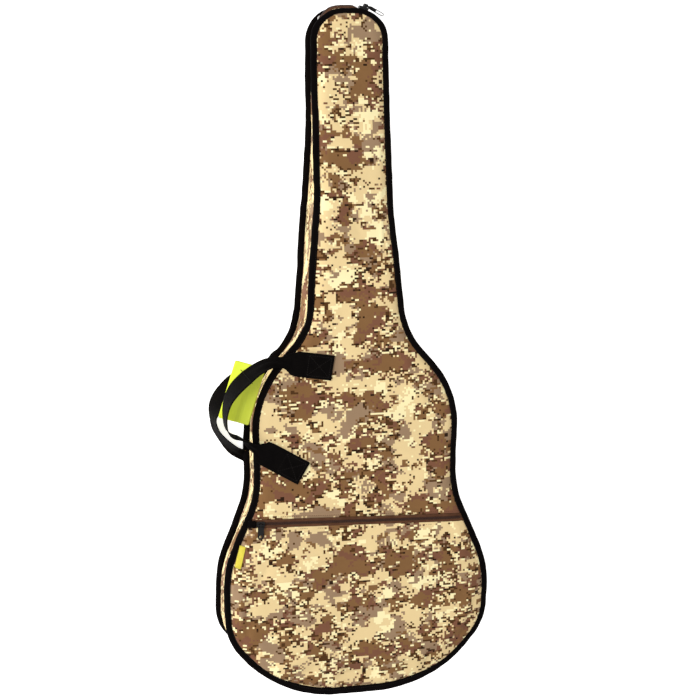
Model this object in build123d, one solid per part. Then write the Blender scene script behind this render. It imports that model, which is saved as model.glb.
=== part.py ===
from build123d import *
import math
import os

# Padded gig bag for a full-size acoustic guitar, lying on its back.
# Millimetres.  +X is the bag's right, +Y runs towards the headstock and +Z points out of the
# front panel.  The origin is the centre of the back rest face.

# ---------------------------------------------------------------- driving dimensions
length = 1045.0
head_half = 59.0
head_corner_radius = 50.0

seam_depth_body = 92.0
seam_depth_head = 48.0
split_body = 62.0
split_head = 31.0
bend_body_y = 115.0
bend_head_y = 425.0
bend_body_radius = 900.0
bend_head_radius = 600.0

binding_width = 10.0
binding_thickness = 4.0
back_binding_bottom = 3.0
wall_inset = 4.0
skin = 1.0
wall_foam = 4.0
panel_foam = 8.0
split_gap = 0.6

zip_top_x = -45.0
zip_bottom_x = -110.0
zip_bottom_y = -400.0
tape_width = 11.0
tape_thickness = 0.8
coil_width = 2.6
coil_height = 1.8

webbing_width = 38.0
webbing_thickness = 2.0

# The right half of the outline: corner points and the radius at each of them.
half_top = length / 2
outline_corners = [
    ((head_half, half_top), head_corner_radius),
    ((head_half, 236.9), 715.0),
    ((75.2, 45.8), 123.0),
    ((158.4, -47.5), 149.0),
    ((154.2, -200.1), 142.0),
    ((209.5, -329.6), 177.0),
    ((205.9, -421.0), 92.0),
    ((118.6, -half_top), 192.0),
]

# ---------------------------------------------------------------- derived sizes
wall_thickness = skin + wall_foam + skin
panel_thickness = skin + panel_foam + skin
back_binding_top = back_binding_bottom + binding_thickness
panel_rise = panel_thickness - binding_thickness
panel_top = seam_depth_body + panel_rise
reach = 700.0


def level_solid(body_height, head_height):
    """Everything below a level that is flat over the body and drops towards the headstock."""
    crest = FilletPolyline(
        (-reach, body_height),
        (bend_body_y, body_height),
        (bend_head_y, head_height),
        (reach, head_height),
        radius=[bend_body_radius, bend_head_radius],
    )
    base = Polyline((reach, head_height), (reach, -reach), (-reach, -reach), (-reach, body_height))
    return extrude(Plane.YZ * make_face(crest + base), amount=reach, both=True)


def below_seam(shift):
    """Everything below the front seam's top face, moved up by shift."""
    return level_solid(seam_depth_body + shift, seam_depth_head + shift)


def below_split(shift):
    """Everything below the line where the zipper parts the wall, moved up by shift."""
    return level_solid(split_body + shift, split_head + shift)


def outline_face(inset):
    """The bag's plan outline, moved inwards by inset."""
    right = [corner for corner, _ in outline_corners]
    left = [(-x, y) for x, y in reversed(right)]
    radii = [radius for _, radius in outline_corners]
    edge = FilletPolyline(*(right + left), radius=radii + radii[::-1], close=True)
    face = make_face(edge)
    if inset > 0:
        face = offset(face, amount=-inset)
    return face


def plate(inset, bottom, top):
    """A flat plate with the bag's outline."""
    return extrude(Pos(0, 0, bottom) * outline_face(inset), amount=top - bottom)


def ring(outer_inset, inner_inset, bottom, top):
    """A closed ring that follows the bag's outline."""
    return plate(outer_inset, bottom, top) - plate(inner_inset, bottom, top)


def block(low, high):
    """An axis-aligned box between two corner points."""
    size = [b - a for a, b in zip(low, high)]
    return Pos(*low) * Box(*size, align=(Align.MIN, Align.MIN, Align.MIN))


def zip_side(margin):
    """The region where the zipper parts the wall: the right side, the top and the bottom."""
    upper = block((zip_top_x + margin, -reach, -1), (reach, reach, 2 * reach))
    lower = block((zip_bottom_x + margin, -reach, -1), (reach, zip_bottom_y, 2 * reach))
    return upper + lower


tall = seam_depth_body + 4 * panel_thickness
nodes = {}


def keep(name, shape, color):
    """Record one finished node."""
    shape.label = name
    shape.color = Color(*color)
    nodes[name] = shape


camo = (0.75, 0.62, 0.44)
black = (0.03, 0.03, 0.03)
foam = (0.55, 0.55, 0.55)
lining = (0.12, 0.12, 0.12)
brown = (0.35, 0.20, 0.14)
steel = (0.75, 0.75, 0.75)
lime = (0.75, 0.80, 0.15)


# ---------------------------------------------------------------- handle geometry in plan
def strip_face(outer, inner, width):
    """A flat strip of the given width along the line from outer to inner."""
    dx = inner[0] - outer[0]
    dy = inner[1] - outer[1]
    turn = math.degrees(math.atan2(dy, dx))
    middle = ((inner[0] + outer[0]) / 2, (inner[1] + outer[1]) / 2)
    return Pos(*middle) * Rot(0, 0, turn) * Rectangle(math.hypot(dx, dy), width)


def outboard(chord, gap):
    """The region on the free side of a handle's fold line, starting gap beyond it."""
    (x1, y1), (x2, y2) = chord
    turn = math.degrees(math.atan2(y1 - y2, x1 - x2))
    middle = ((x1 + x2) / 2, (y1 + y2) / 2, 0)
    side = block((-reach, gap, -reach), (reach, reach, reach))
    return Pos(*middle) * Rot(0, 0, turn) * side


def lengthen(start, end, extra):
    """A point that lies extra beyond end on the line from start."""
    span = math.hypot(end[0] - start[0], end[1] - start[1])
    return (
        end[0] + (end[0] - start[0]) * extra / span,
        end[1] + (end[1] - start[1]) * extra / span,
    )


fold_gap = 2.0
front_fold = ((-114.0, 7.6), (-157.5, -119.6))
front_upper_inner = (-39.0, -4.5)
front_lower_inner = (-84.5, -163.5)
front_loop_points = [
    (-128.0, 9.0),
    (-150.0, -6.0),
    (-186.0, -34.0),
    (-201.0, -66.0),
    (-196.0, -96.0),
    (-169.5, -112.5),
]
front_loop_radii = [60.0, 45.0, 40.0, 25.0]
front_end_reach = 26.0
front_webbing_level = panel_top + webbing_thickness / 2
front_loop_bottom = 77.0

back_fold = ((-143.0, -12.0), (-164.0, -152.0))
back_upper_inner = (-60.0, 2.0)
back_lower_inner = (-100.0, -195.0)
back_loop_points = [
    back_fold[0],
    (-170.0, -19.0),
    (-201.0, -42.0),
    (-213.0, -75.0),
    (-206.0, -108.0),
    (-188.0, -134.0),
    back_fold[1],
]
back_loop_radii = [45.0, 45.0, 45.0, 60.0, 60.0]
back_loop_bottom = 0.4


def back_strips(thickness):
    """The two webbing ends of the back handle, as far as its fold line."""
    faces = strip_face(lengthen(back_upper_inner, back_fold[0], 20), back_upper_inner, webbing_width)
    faces += strip_face(lengthen(back_lower_inner, back_fold[1], 20), back_lower_inner, webbing_width)
    return extrude(faces, amount=thickness) - outboard(back_fold, -fold_gap)


# ---------------------------------------------------------------- back panel
def make_back_panel():
    cloth = plate(binding_width, 0, skin) - back_strips(skin)
    keep("back_panel_fabric", cloth, camo)
    keep("back_panel_foam", plate(binding_width, skin, skin + panel_foam), foam)
    keep("back_panel_lining", plate(binding_width, skin + panel_foam, panel_thickness), lining)
    band = ring(0, binding_width, back_binding_bottom, back_binding_top)
    keep("back_edge_binding", band, black)


# ---------------------------------------------------------------- walls between the panels
def wall_layers():
    """Name, outer inset, inner inset and colour of each layer of the wall."""
    foam_outer = wall_inset + skin
    foam_inner = foam_outer + wall_foam
    return [
        ("fabric", wall_inset, foam_outer, camo),
        ("foam", foam_outer, foam_inner, foam),
        ("lining", foam_inner, foam_inner + skin, lining),
    ]


def make_walls():
    spine_top = below_seam(-binding_thickness - split_gap)
    lid_wall_top = below_seam(-binding_thickness)
    rear_top = below_split(-split_gap / 2)
    lid_bottom = below_split(split_gap / 2)
    side = zip_side(0)
    side_for_lid = zip_side(split_gap)
    for name, outer, inner, color in wall_layers():
        layer = ring(outer, inner, back_binding_top, tall)
        keep("spine_gusset_" + name, (layer & spine_top) - side, color)
        keep("rear_gusset_" + name, layer & rear_top & side, color)
        keep("front_gusset_" + name, (layer & lid_wall_top & side_for_lid) - lid_bottom, color)


# ---------------------------------------------------------------- main zipper
def make_main_zipper():
    coil_outer = wall_inset - tape_thickness - coil_height
    band = ring(wall_inset - tape_thickness, wall_inset, back_binding_top, tall) & zip_side(1)
    bead = ring(coil_outer, wall_inset - tape_thickness, back_binding_top, tall) & zip_side(4)
    rear_edge = below_split(-split_gap / 2)
    front_edge = below_split(split_gap / 2)
    keep("rear_zipper_tape", (band & rear_edge) - below_split(-tape_width), brown)
    keep("front_zipper_tape", (band & below_split(tape_width)) - front_edge, brown)
    keep("rear_zipper_coil", (bead & rear_edge) - below_split(-coil_width), brown)
    keep("front_zipper_coil", (bead & below_split(coil_width)) - front_edge, brown)

    stop_length = 2.5
    bead_ends = ring(coil_outer, wall_inset - tape_thickness, back_binding_top, tall)
    ends = (zip_side(4 - stop_length) - zip_side(4)) & bead_ends
    stops = (ends & rear_edge) - below_split(-2 * coil_width)
    keep("zipper_end_stops", stops, steel)


# ---------------------------------------------------------------- main slider and pull
slider_centre = (head_half - head_corner_radius, half_top - head_corner_radius)
slider_angle = 72.0
slider_sweep = 16.0
slider_half_width = 5.0
slider_clearance = 0.3
slider_inner_radius = head_corner_radius - (wall_inset - tape_thickness - coil_height) + slider_clearance
slider_outer_radius = slider_inner_radius + 3.5
pull_pivot_radius = 55.4
pull_pivot_angle = 70.0
pull_direction = -28.0
pull_pin_radius = 0.8
pull_eye_bore = 1.1
pull_eye_radius = 2.3
pull_length = 31.0
pull_tip_length = 10.0


def sector(inner_radius, outer_radius, middle, sweep, bottom, top):
    """A piece of a ring about the headstock corner's centre."""
    first = math.radians(middle - sweep / 2)
    last = math.radians(middle + sweep / 2)
    far = 2 * outer_radius
    wedge = make_face(
        Polyline(
            (0, 0),
            (far * math.cos(first), far * math.sin(first)),
            (far * math.cos(last), far * math.sin(last)),
            close=True,
        )
    )
    flat = (Circle(outer_radius) - Circle(inner_radius)) & wedge
    return Pos(*slider_centre, bottom) * extrude(flat, amount=top - bottom)


def pull_pivot():
    turn = math.radians(pull_pivot_angle)
    x = slider_centre[0] + pull_pivot_radius * math.cos(turn)
    y = slider_centre[1] + pull_pivot_radius * math.sin(turn)
    return (x, y, split_head)


def make_main_slider():
    low = split_head - slider_half_width
    high = split_head + slider_half_width
    cap = sector(slider_inner_radius, slider_outer_radius, slider_angle, slider_sweep, low, high)
    lip_inner = head_corner_radius - wall_inset + tape_thickness + slider_clearance
    lip_top = split_head - coil_width - slider_clearance
    lip = sector(lip_inner, slider_inner_radius, slider_angle, slider_sweep, low, lip_top)
    keep("main_slider_body", cap + lip, black)

    ear_sweep = 6.0
    ear_outer = pull_pivot_radius + 1.8
    ear_gap = 2.6
    ear_thickness = 1.4
    upper = sector(slider_outer_radius, ear_outer, pull_pivot_angle, ear_sweep,
                   split_head + ear_gap, split_head + ear_gap + ear_thickness)
    lower = sector(slider_outer_radius, ear_outer, pull_pivot_angle, ear_sweep,
                   split_head - ear_gap - ear_thickness, split_head - ear_gap)
    pin = Pos(*pull_pivot()) * Cylinder(pull_pin_radius, 2 * ear_gap + ear_thickness)
    keep("main_slider_bail", upper + lower + pin, black)


def make_main_pull():
    eye_half = 2.1
    tab_half = 3.0
    tab_thickness = 1.5
    tip_half = 4.0
    tip_thickness = 1.9
    tip_start = pull_length - pull_tip_length
    eye = Cylinder(pull_eye_radius, 2 * eye_half)
    neck = block((0, -tab_thickness / 2, -eye_half), (5, tab_thickness / 2, eye_half))
    tab = block((4.5, -tab_thickness / 2, -tab_half), (tip_start, tab_thickness / 2, tab_half))
    strap = eye + neck + tab - Cylinder(pull_eye_bore, 3 * eye_half)
    tip = block((tip_start, -tip_thickness / 2, -tip_half), (pull_length, tip_thickness / 2, tip_half))
    corners = tip.edges().filter_by(Axis.Y).group_by(Axis.X)[-1]
    tip = fillet(corners, 2.5)
    slot = block((tip_start + 3, -tip_thickness, -1.6), (pull_length - 2.5, tip_thickness, 1.6))
    place = Pos(*pull_pivot()) * Rot(0, 0, pull_direction)
    keep("main_pull_tab", place * strap, black)
    keep("main_pull_tip", place * (tip - slot), steel)


# ---------------------------------------------------------------- front panel
def make_front_panel():
    blank = plate(binding_width, back_binding_top, tall)
    lining_bottom = below_seam(-binding_thickness)
    foam_bottom = below_seam(skin - binding_thickness)
    foam_top = below_seam(panel_rise - skin)
    face_top = below_seam(panel_rise)
    keep("front_panel_lining", (blank & foam_bottom) - lining_bottom, lining)
    keep("front_panel_foam", (blank & foam_top) - foam_bottom, foam)
    keep("front_panel_fabric", (blank & face_top) - foam_top, camo)
    band = ring(0, binding_width, back_binding_top, tall)
    keep("front_edge_binding", (band & below_seam(0)) - lining_bottom, black)


# ---------------------------------------------------------------- pocket and its zipper
pocket_zip_middle = (0.0, -242.6)
pocket_zip_tilt = -2.0
pocket_tape_half = 5.5
pocket_coil_height = 1.4
pocket_panel_thickness = 1.6
pocket_slider_start = -151.5
pocket_end_tab_x = -158.2
bail_level = panel_top + 7.6
zip_place = Pos(*pocket_zip_middle, panel_top) * Rot(0, 0, pocket_zip_tilt)


def make_pocket():
    inside = plate(binding_width, panel_top, tall)
    below_zip = zip_place * block((-reach, -reach, 0), (reach, -pocket_tape_half, pocket_panel_thickness))
    keep("pocket_panel", inside & below_zip, camo)

    half_gap = split_gap / 3
    upper = zip_place * block((-reach, half_gap, 0), (reach, pocket_tape_half, tape_thickness))
    lower = zip_place * block((-reach, -pocket_tape_half, 0), (reach, -half_gap, tape_thickness))
    keep("pocket_zipper_upper_tape", inside & upper, brown)
    keep("pocket_zipper_lower_tape", inside & lower, brown)

    coil_top = tape_thickness + pocket_coil_height
    coil_start = pocket_end_tab_x
    run = plate(binding_width + 2, panel_top, tall)
    upper = zip_place * block((coil_start, half_gap, tape_thickness), (reach, coil_width, coil_top))
    lower = zip_place * block((coil_start, -coil_width, tape_thickness), (reach, -half_gap, coil_top))
    keep("pocket_zipper_upper_coil", run & upper, brown)
    keep("pocket_zipper_lower_coil", run & lower, brown)

    tab_half = 5.0
    tab = zip_place * block((-reach, -tab_half, tape_thickness), (pocket_end_tab_x, tab_half, coil_top))
    keep("pocket_zipper_end_tab", inside & tab, black)


def make_pocket_slider():
    coil_top = tape_thickness + pocket_coil_height
    cap_bottom = coil_top + slider_clearance
    cap_top = cap_bottom + 2.5
    half_length = 6.0
    half_width = 4.2
    lip_inner = coil_width + slider_clearance
    lip_bottom = tape_thickness + slider_clearance
    cap = block((-half_length, -half_width, cap_bottom), (half_length, half_width, cap_top))
    cap = fillet(cap.edges().filter_by(Axis.Z), 1.5)
    lip_half = half_length - 1.6
    for side in (-1, 1):
        near = min(side * lip_inner, side * half_width)
        far = max(side * lip_inner, side * half_width)
        cap += block((-lip_half, near, lip_bottom), (lip_half, far, cap_bottom))
    place = zip_place * Pos(pocket_slider_start, 0, 0)
    keep("pocket_slider_body", place * cap, black)

    bail_half = 4.5
    bar = 0.6
    post = 1.2
    bar_level = bail_level - panel_top
    arch = block((-bail_half, -bar, cap_top), (bail_half, bar, bar_level + bar))
    arch -= block((-bail_half + post, -2 * bar, cap_top), (bail_half - post, 2 * bar, bar_level - bar))
    keep("pocket_slider_bail", place * arch, black)


def make_pocket_pull():
    droop = 8.0
    eye_half = 1.25
    tab_half = 4.5
    thickness = 1.4
    tab_end = 16.0
    ring_centre = 19.0
    ring_radius = 4.6
    ring_bore = 2.5
    eye = Rot(0, 90, 0) * Cylinder(2.1, 2 * eye_half)
    stem = block((-eye_half, -4, -thickness / 2), (eye_half, 0, thickness / 2))
    tab = block((-tab_half, -tab_end, -thickness / 2), (tab_half, -3.5, thickness / 2))
    loop = Pos(0, -ring_centre, 0) * Cylinder(ring_radius, thickness)
    tag = eye + stem + tab + loop
    tag -= Rot(0, 90, 0) * Cylinder(1.0, 4 * eye_half)
    tag -= Pos(0, -ring_centre, 0) * Cylinder(ring_bore, 3 * thickness)
    place = zip_place * Pos(pocket_slider_start, 0, bail_level - panel_top) * Rot(droop, 0, 0)
    keep("pocket_pull", place * tag, black)


def make_side_label():
    label_width = 9.0
    label_length = 34.0
    base = panel_top + pocket_panel_thickness
    cloth = Box(label_width, label_length, tape_thickness, align=(Align.CENTER, Align.CENTER, Align.MIN))
    keep("side_label", Pos(-174.2, -288.0, base) * Rot(0, 0, -15) * cloth, lime)


# ---------------------------------------------------------------- handles
def make_front_handle():
    upper_outer = lengthen(front_upper_inner, front_fold[0], front_end_reach)
    lower_outer = lengthen(front_lower_inner, front_fold[1], front_end_reach)
    flats = strip_face(upper_outer, front_upper_inner, webbing_width)
    flats += strip_face(lower_outer, front_lower_inner, webbing_width)
    flats = Pos(0, 0, panel_top) * extrude(flats, amount=webbing_thickness)
    keep("front_handle_ends", flats - outboard(front_fold, -fold_gap), black)

    route = FilletPolyline(*front_loop_points, radius=front_loop_radii)
    band = extrude(trace(route, line_width=webbing_thickness), amount=webbing_width)
    loop = (flats & outboard(front_fold, fold_gap)) + Pos(0, 0, front_loop_bottom) * band
    keep("front_handle_webbing", loop, black)


def make_back_handle():
    keep("back_handle_ends", back_strips(skin), black)
    route = FilletPolyline(*back_loop_points, radius=back_loop_radii)
    band = extrude(trace(route, line_width=webbing_width), amount=webbing_thickness)
    loop = Pos(0, 0, back_loop_bottom) * band & outboard(back_fold, fold_gap)
    keep("back_handle_webbing", loop, black)


# ---------------------------------------------------------------- hang tag
tag_middle = (-172.0, -40.7)
tag_width = 48.0
tag_length = 90.0
tag_turn = -17.9
tag_bottom = 71.5
tag_thickness = 0.8
tag_hole_from_top = 20.0
eyelet_bore = 3.0
eyelet_barrel = 4.0
eyelet_rim = 5.2


def make_hang_tag():
    card = Box(tag_width, tag_length, tag_thickness, align=(Align.CENTER, Align.CENTER, Align.MIN))
    card = fillet(card.edges().filter_by(Axis.Z), 3)
    hole_place = Pos(0, tag_length / 2 - tag_hole_from_top, 0)
    low = (Align.CENTER, Align.CENTER, Align.MIN)
    card -= hole_place * Cylinder(eyelet_barrel, tag_thickness, align=low)
    rim = 0.4
    eyelet = Cylinder(eyelet_barrel, tag_thickness, align=low)
    eyelet += Pos(0, 0, tag_thickness) * Cylinder(eyelet_rim, rim, align=low)
    eyelet += Pos(0, 0, -rim) * Cylinder(eyelet_rim, rim, align=low)
    eyelet -= Cylinder(eyelet_bore, 4 * panel_thickness)
    place = Pos(*tag_middle, tag_bottom) * Rot(0, 0, tag_turn)
    keep("hang_tag_card", place * card, lime)
    keep("hang_tag_eyelet", place * (hole_place * eyelet), steel)

    wire = 0.5
    leg = webbing_thickness / 2 + 0.9
    low_level = tag_bottom - 1.4
    high_level = front_loop_bottom + webbing_width + 1.2
    turn = math.radians(tag_turn)
    drop = tag_hole_from_top - tag_length / 2
    hole_x = tag_middle[0] + drop * math.sin(turn)
    hole_y = tag_middle[1] - drop * math.cos(turn)
    (x1, y1), (x2, y2) = front_loop_points[1:3]
    band_turn = math.atan2(y2 - y1, x2 - x1)
    route = FilletPolyline(
        (-leg, low_level), (leg, low_level), (leg, high_level), (-leg, high_level), radius=1.2, close=True
    )
    section = Plane(origin=(leg, (low_level + high_level) / 2, 0), z_dir=(0, 1, 0)) * Circle(wire)
    loop = sweep(section, path=route)
    along = (math.cos(band_turn), math.sin(band_turn), 0)
    across = (-along[1], along[0], 0)
    upright = Plane(origin=(hole_x, hole_y, 0), x_dir=across, z_dir=along)
    keep("hang_tag_loop", upright * loop, black)


make_back_panel()
make_walls()
make_main_zipper()
make_main_slider()
make_main_pull()
make_front_panel()
make_pocket()
make_pocket_slider()
make_pocket_pull()
make_side_label()
make_front_handle()
make_back_handle()
make_hang_tag()

os.makedirs("parts", exist_ok=True)
for node_name, node_shape in nodes.items():
    export_step(node_shape, "parts/" + node_name + ".step")
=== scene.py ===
"""The looks of the padded gig bag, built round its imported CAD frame.  Sizes here are millimetres."""

import math

import bpy
import numpy as np
from mathutils import Matrix, Vector, kdtree, noise


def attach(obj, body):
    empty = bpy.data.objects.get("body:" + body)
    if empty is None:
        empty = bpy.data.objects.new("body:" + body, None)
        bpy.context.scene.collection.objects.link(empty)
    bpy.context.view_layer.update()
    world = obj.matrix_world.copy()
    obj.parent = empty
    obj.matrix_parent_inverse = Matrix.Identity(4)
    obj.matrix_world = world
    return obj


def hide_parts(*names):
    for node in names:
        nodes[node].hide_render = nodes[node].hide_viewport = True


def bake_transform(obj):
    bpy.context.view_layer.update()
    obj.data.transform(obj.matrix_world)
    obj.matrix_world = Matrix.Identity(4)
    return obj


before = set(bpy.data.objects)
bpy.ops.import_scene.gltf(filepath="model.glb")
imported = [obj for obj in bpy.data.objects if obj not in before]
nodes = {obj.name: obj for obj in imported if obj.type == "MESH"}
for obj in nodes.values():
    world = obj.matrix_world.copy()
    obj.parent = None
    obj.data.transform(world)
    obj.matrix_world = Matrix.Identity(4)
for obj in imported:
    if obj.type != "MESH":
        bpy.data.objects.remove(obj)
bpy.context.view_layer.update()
scene = bpy.context.scene
MM = 0.001

# ---------------------------------------------------------------- camera, light and floor
EYE = np.array([-0.52, 0.45, 2.35])
TARGET = np.array([0.0, 0.0, 0.05])
ROLL = math.radians(-0.2)


def link(name, data):
    """A new object in the scene."""
    made = bpy.data.objects.new(name, data)
    scene.collection.objects.link(made)
    return made


def aim(obj, eye, target, up, roll=0.0):
    """Stand obj at eye, looking at target, with up as near upright as it goes."""
    ahead = (target - eye) / np.linalg.norm(target - eye)
    right = np.cross(ahead, up)
    right /= np.linalg.norm(right)
    over = np.cross(right, ahead)
    c, s = math.cos(roll), math.sin(roll)
    right, over = c * right + s * over, c * over - s * right
    turn = Matrix([right, over, -ahead]).transposed()
    obj.matrix_world = Matrix.Translation(eye) @ turn.to_4x4()


def make_camera():
    """The photographer's camera, well above the bag and a little to its left."""
    data = bpy.data.cameras.new("camera")
    data.sensor_width = 36.0
    data.lens = 81.2
    data.shift_x = -0.0017
    data.shift_y = 0.0115
    data.clip_start, data.clip_end = 0.05, 50.0
    cam = link("camera", data)
    aim(cam, EYE, TARGET, (0, 1, 0), ROLL)
    scene.camera = cam


def soft_box(name, eye, size, power):
    """A square area light aimed at the middle of the bag."""
    data = bpy.data.lights.new(name, "AREA")
    data.size = size
    data.energy = power
    aim(link(name, data), np.array(eye), TARGET, (0.1, 1, 0.05))


def make_studio():
    """Even white surroundings and three large soft lights."""
    scene.view_settings.view_transform = "Standard"
    world = bpy.data.worlds.new("studio")
    scene.world = world
    world.use_nodes = True
    sky = world.node_tree.nodes["Background"]
    sky.inputs["Color"].default_value = (1.0, 1.0, 1.0, 1.0)
    sky.inputs["Strength"].default_value = 0.5
    soft_box("key_light", (-1.7, 0.6, 2.3), 1.0, 49.0)
    soft_box("fill_light", (1.9, -0.8, 2.2), 1.6, 14.0)
    soft_box("side_light", (-2.6, -0.3, 0.8), 1.2, 34.0)


make_camera()
make_studio()


# ---------------------------------------------------------------- materials
def srgb(r, g, b):
    """A colour from its display values."""
    linear = []
    for value in (r, g, b):
        share = value / 255
        linear.append(((share + 0.055) / 1.055) ** 2.4 if value > 10 else share / 12.92)
    return (*linear, 1.0)


class Graph:
    """A node material that is built one node at a time."""

    def __init__(self, name, roughness, sheen=0.0, metallic=0.0, gloss=0.1):
        self.material = bpy.data.materials.new(name)
        self.material.use_nodes = True
        self.tree = self.material.node_tree
        self.shader = self.tree.nodes["Principled BSDF"]
        self.shader.inputs["Roughness"].default_value = roughness
        self.shader.inputs["Metallic"].default_value = metallic
        self.shader.inputs["Specular IOR Level"].default_value = gloss
        self.shader.inputs["Sheen Weight"].default_value = sheen
        self.shader.inputs["Sheen Roughness"].default_value = 0.5

    def add(self, kind, inputs, out=0, **settings):
        """A node with its inputs filled in; gives back one of its outputs."""
        node = self.tree.nodes.new("ShaderNode" + kind)
        for key, value in settings.items():
            setattr(node, key, value)
        for key, value in inputs.items():
            if isinstance(value, bpy.types.NodeSocket):
                self.tree.links.new(value, node.inputs[key])
            else:
                node.inputs[key].default_value = value
        return node.outputs[out]

    def math(self, operation, a, b=0.0, c=0.0):
        return self.add("Math", {0: a, 1: b, 2: c}, operation=operation)

    def vector(self, operation, a, b):
        return self.add("VectorMath", {0: a, 1: b}, operation=operation)

    def noise(self, place, scale, detail=3.0, roughness=0.6):
        inputs = {"Vector": place, "Scale": scale, "Detail": detail, "Roughness": roughness}
        return self.add("TexNoise", inputs)

    def mix(self, factor, first, second):
        return self.add("Mix", {0: factor, 6: first, 7: second}, out=2, data_type="RGBA")

    def into(self, socket, value):
        self.tree.links.new(value, self.shader.inputs[socket])

    def bump(self, height, depth_mm, strength=1.0):
        inputs = {"Strength": strength, "Distance": depth_mm * MM, "Height": height}
        self.into("Normal", self.add("Bump", inputs))

    def cloth_place(self):
        return self.add("UVMap", {}, uv_map="cloth")

    def object_place(self):
        return self.add("TexCoord", {}, out="Object")

    def split(self, place):
        node = self.tree.nodes.new("ShaderNodeSeparateXYZ")
        self.tree.links.new(place, node.inputs[0])
        return node.outputs

    def wave(self, value, pitch_mm, shift=0.0):
        """A ripple from -1 to 1 along one coordinate."""
        return self.math("SINE", self.math("MULTIPLY_ADD", value, 2 * math.pi / (pitch_mm * MM), shift))

    def above(self, value, level):
        return self.math("GREATER_THAN", value, level)


CELL_MM = 2.9
BLOTCH_LEVEL = 0.52
WEAVE_PITCH, LINING_PITCH = 0.9, 0.7
SAND = srgb(229, 203, 150)
CREAM = srgb(247, 233, 180)
TAUPE = srgb(153, 126, 98)
TAN_BROWN = srgb(128, 93, 58)
RED_BROWN = srgb(121, 81, 60)
DARK = srgb(78, 50, 24)
DEEP = srgb(44, 26, 12)


def camo_material():
    """Woven polyester with a blocky desert print, and the weave over it."""
    g = Graph("camo_fabric", 0.82, sheen=0.03, gloss=0.08)
    place = g.cloth_place()
    cell = g.vector("SNAP", place, (CELL_MM * MM,) * 3)
    pair = g.vector("SNAP", place, (2 * CELL_MM * MM, CELL_MM * MM, MM))
    grain = g.add("TexWhiteNoise", {"Vector": g.vector("ADD", cell, (3.1, 1.7, 0.4))})
    grit = g.add("TexWhiteNoise", {"Vector": g.vector("ADD", pair, (8.3, 4.9, 2.6))})

    def field(offset, scale, jitter, stretch=(0.85, 1.0, 1.0)):
        """Slow noise, one value for each block, with ragged edges."""
        spot = g.vector("MULTIPLY", g.vector("ADD", cell, offset), stretch)
        slow = g.noise(spot, scale, 4.0, 0.66)
        return g.math("ADD", slow, g.math("MULTIPLY_ADD", grain, jitter, -jitter / 2))

    light = field((0.7, 2.3, 1.0), 27.0, 0.03)
    haze = field((5.1, 0.4, 3.0), 25.0, 0.035)
    blotch = field((2.9, 7.7, 5.0), 21.0, 0.06)
    patch = field((6.4, 1.9, 2.2), 38.0, 0.04)
    edge = g.math("ABSOLUTE", g.math("SUBTRACT", blotch, BLOTCH_LEVEL))
    warm = field((1.4, 3.3, 7.0), 30.0, 0.05)
    brown = g.mix(g.above(warm, 0.52), TAN_BROWN, RED_BROWN)
    colour = g.mix(g.above(light, 0.56), SAND, CREAM)
    colour = g.mix(g.above(haze, 0.538), colour, TAUPE)
    colour = g.mix(g.above(blotch, BLOTCH_LEVEL), colour, brown)
    colour = g.mix(g.above(patch, 0.6), colour, brown)
    colour = g.mix(g.above(field((9.2, 3.8, 5.1), 40.0, 0.08), 0.645), colour, DARK)
    near = g.math("LESS_THAN", edge, 0.036)
    colour = g.mix(g.math("MULTIPLY", near, g.above(grit, 0.72)), colour, DARK)
    colour = g.mix(g.math("MULTIPLY", near, g.above(grit, 0.93)), colour, DEEP)
    flecks = g.math("MULTIPLY", g.math("LESS_THAN", edge, 0.05), g.math("LESS_THAN", grit, 0.1))
    colour = g.mix(flecks, colour, CREAM)
    wash = g.noise(place, 9.0, 3.0)
    thread = g.noise(g.vector("MULTIPLY", place, (1.0, 4.0, 1.0)), 900.0, 1.0)
    value = g.math("ADD", g.math("MULTIPLY_ADD", wash, 0.24, 0.8), g.math("MULTIPLY", thread, 0.14))
    g.into("Base Color", g.add("HueSaturation", {"Color": colour, "Value": value, "Saturation": 1.0}))
    u, v, _ = g.split(place)
    weave = g.math("MULTIPLY", g.wave(u, WEAVE_PITCH), g.wave(v, WEAVE_PITCH))
    g.bump(g.math("ADD", weave, g.math("MULTIPLY", thread, 0.8)), 0.12, 0.6)
    return g.material


def webbing_material(name, pitch, base, lift, roughness=0.8):
    """Ribbed tape: ribs across its length and a herringbone between them."""
    g = Graph(name, roughness, sheen=0.006, gloss=0.03)
    place = g.cloth_place()
    u, v, _ = g.split(place)
    ribs = g.wave(u, pitch)
    twill = g.wave(g.math("ADD", u, g.math("ABSOLUTE", g.math("PINGPONG", v, 0.004))), 1.1 * pitch)
    wear = g.noise(place, 60.0, 4.0)
    tone = g.math("MULTIPLY_ADD", g.math("MULTIPLY", twill, ribs), 0.25, g.math("MULTIPLY", wear, 0.9))
    g.into("Base Color", g.mix(tone, base, lift))
    g.bump(g.math("ADD", ribs, g.math("MULTIPLY", twill, 0.6)), 0.16, 0.8)
    return g.material


def lining_material():
    """Thin dark cloth, a little shiny."""
    g = Graph("lining_fabric", 0.6, sheen=0.12, gloss=0.2)
    place = g.cloth_place()
    u, v, _ = g.split(place)
    weave = g.math("MULTIPLY", g.wave(u, LINING_PITCH), g.wave(v, LINING_PITCH))
    tone = g.math("MULTIPLY_ADD", g.noise(place, 25.0, 4.0), 0.8, g.math("MULTIPLY", weave, 0.1))
    g.into("Base Color", g.mix(tone, srgb(22, 22, 24), srgb(52, 52, 56)))
    g.bump(weave, 0.08, 0.6)
    return g.material


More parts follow.
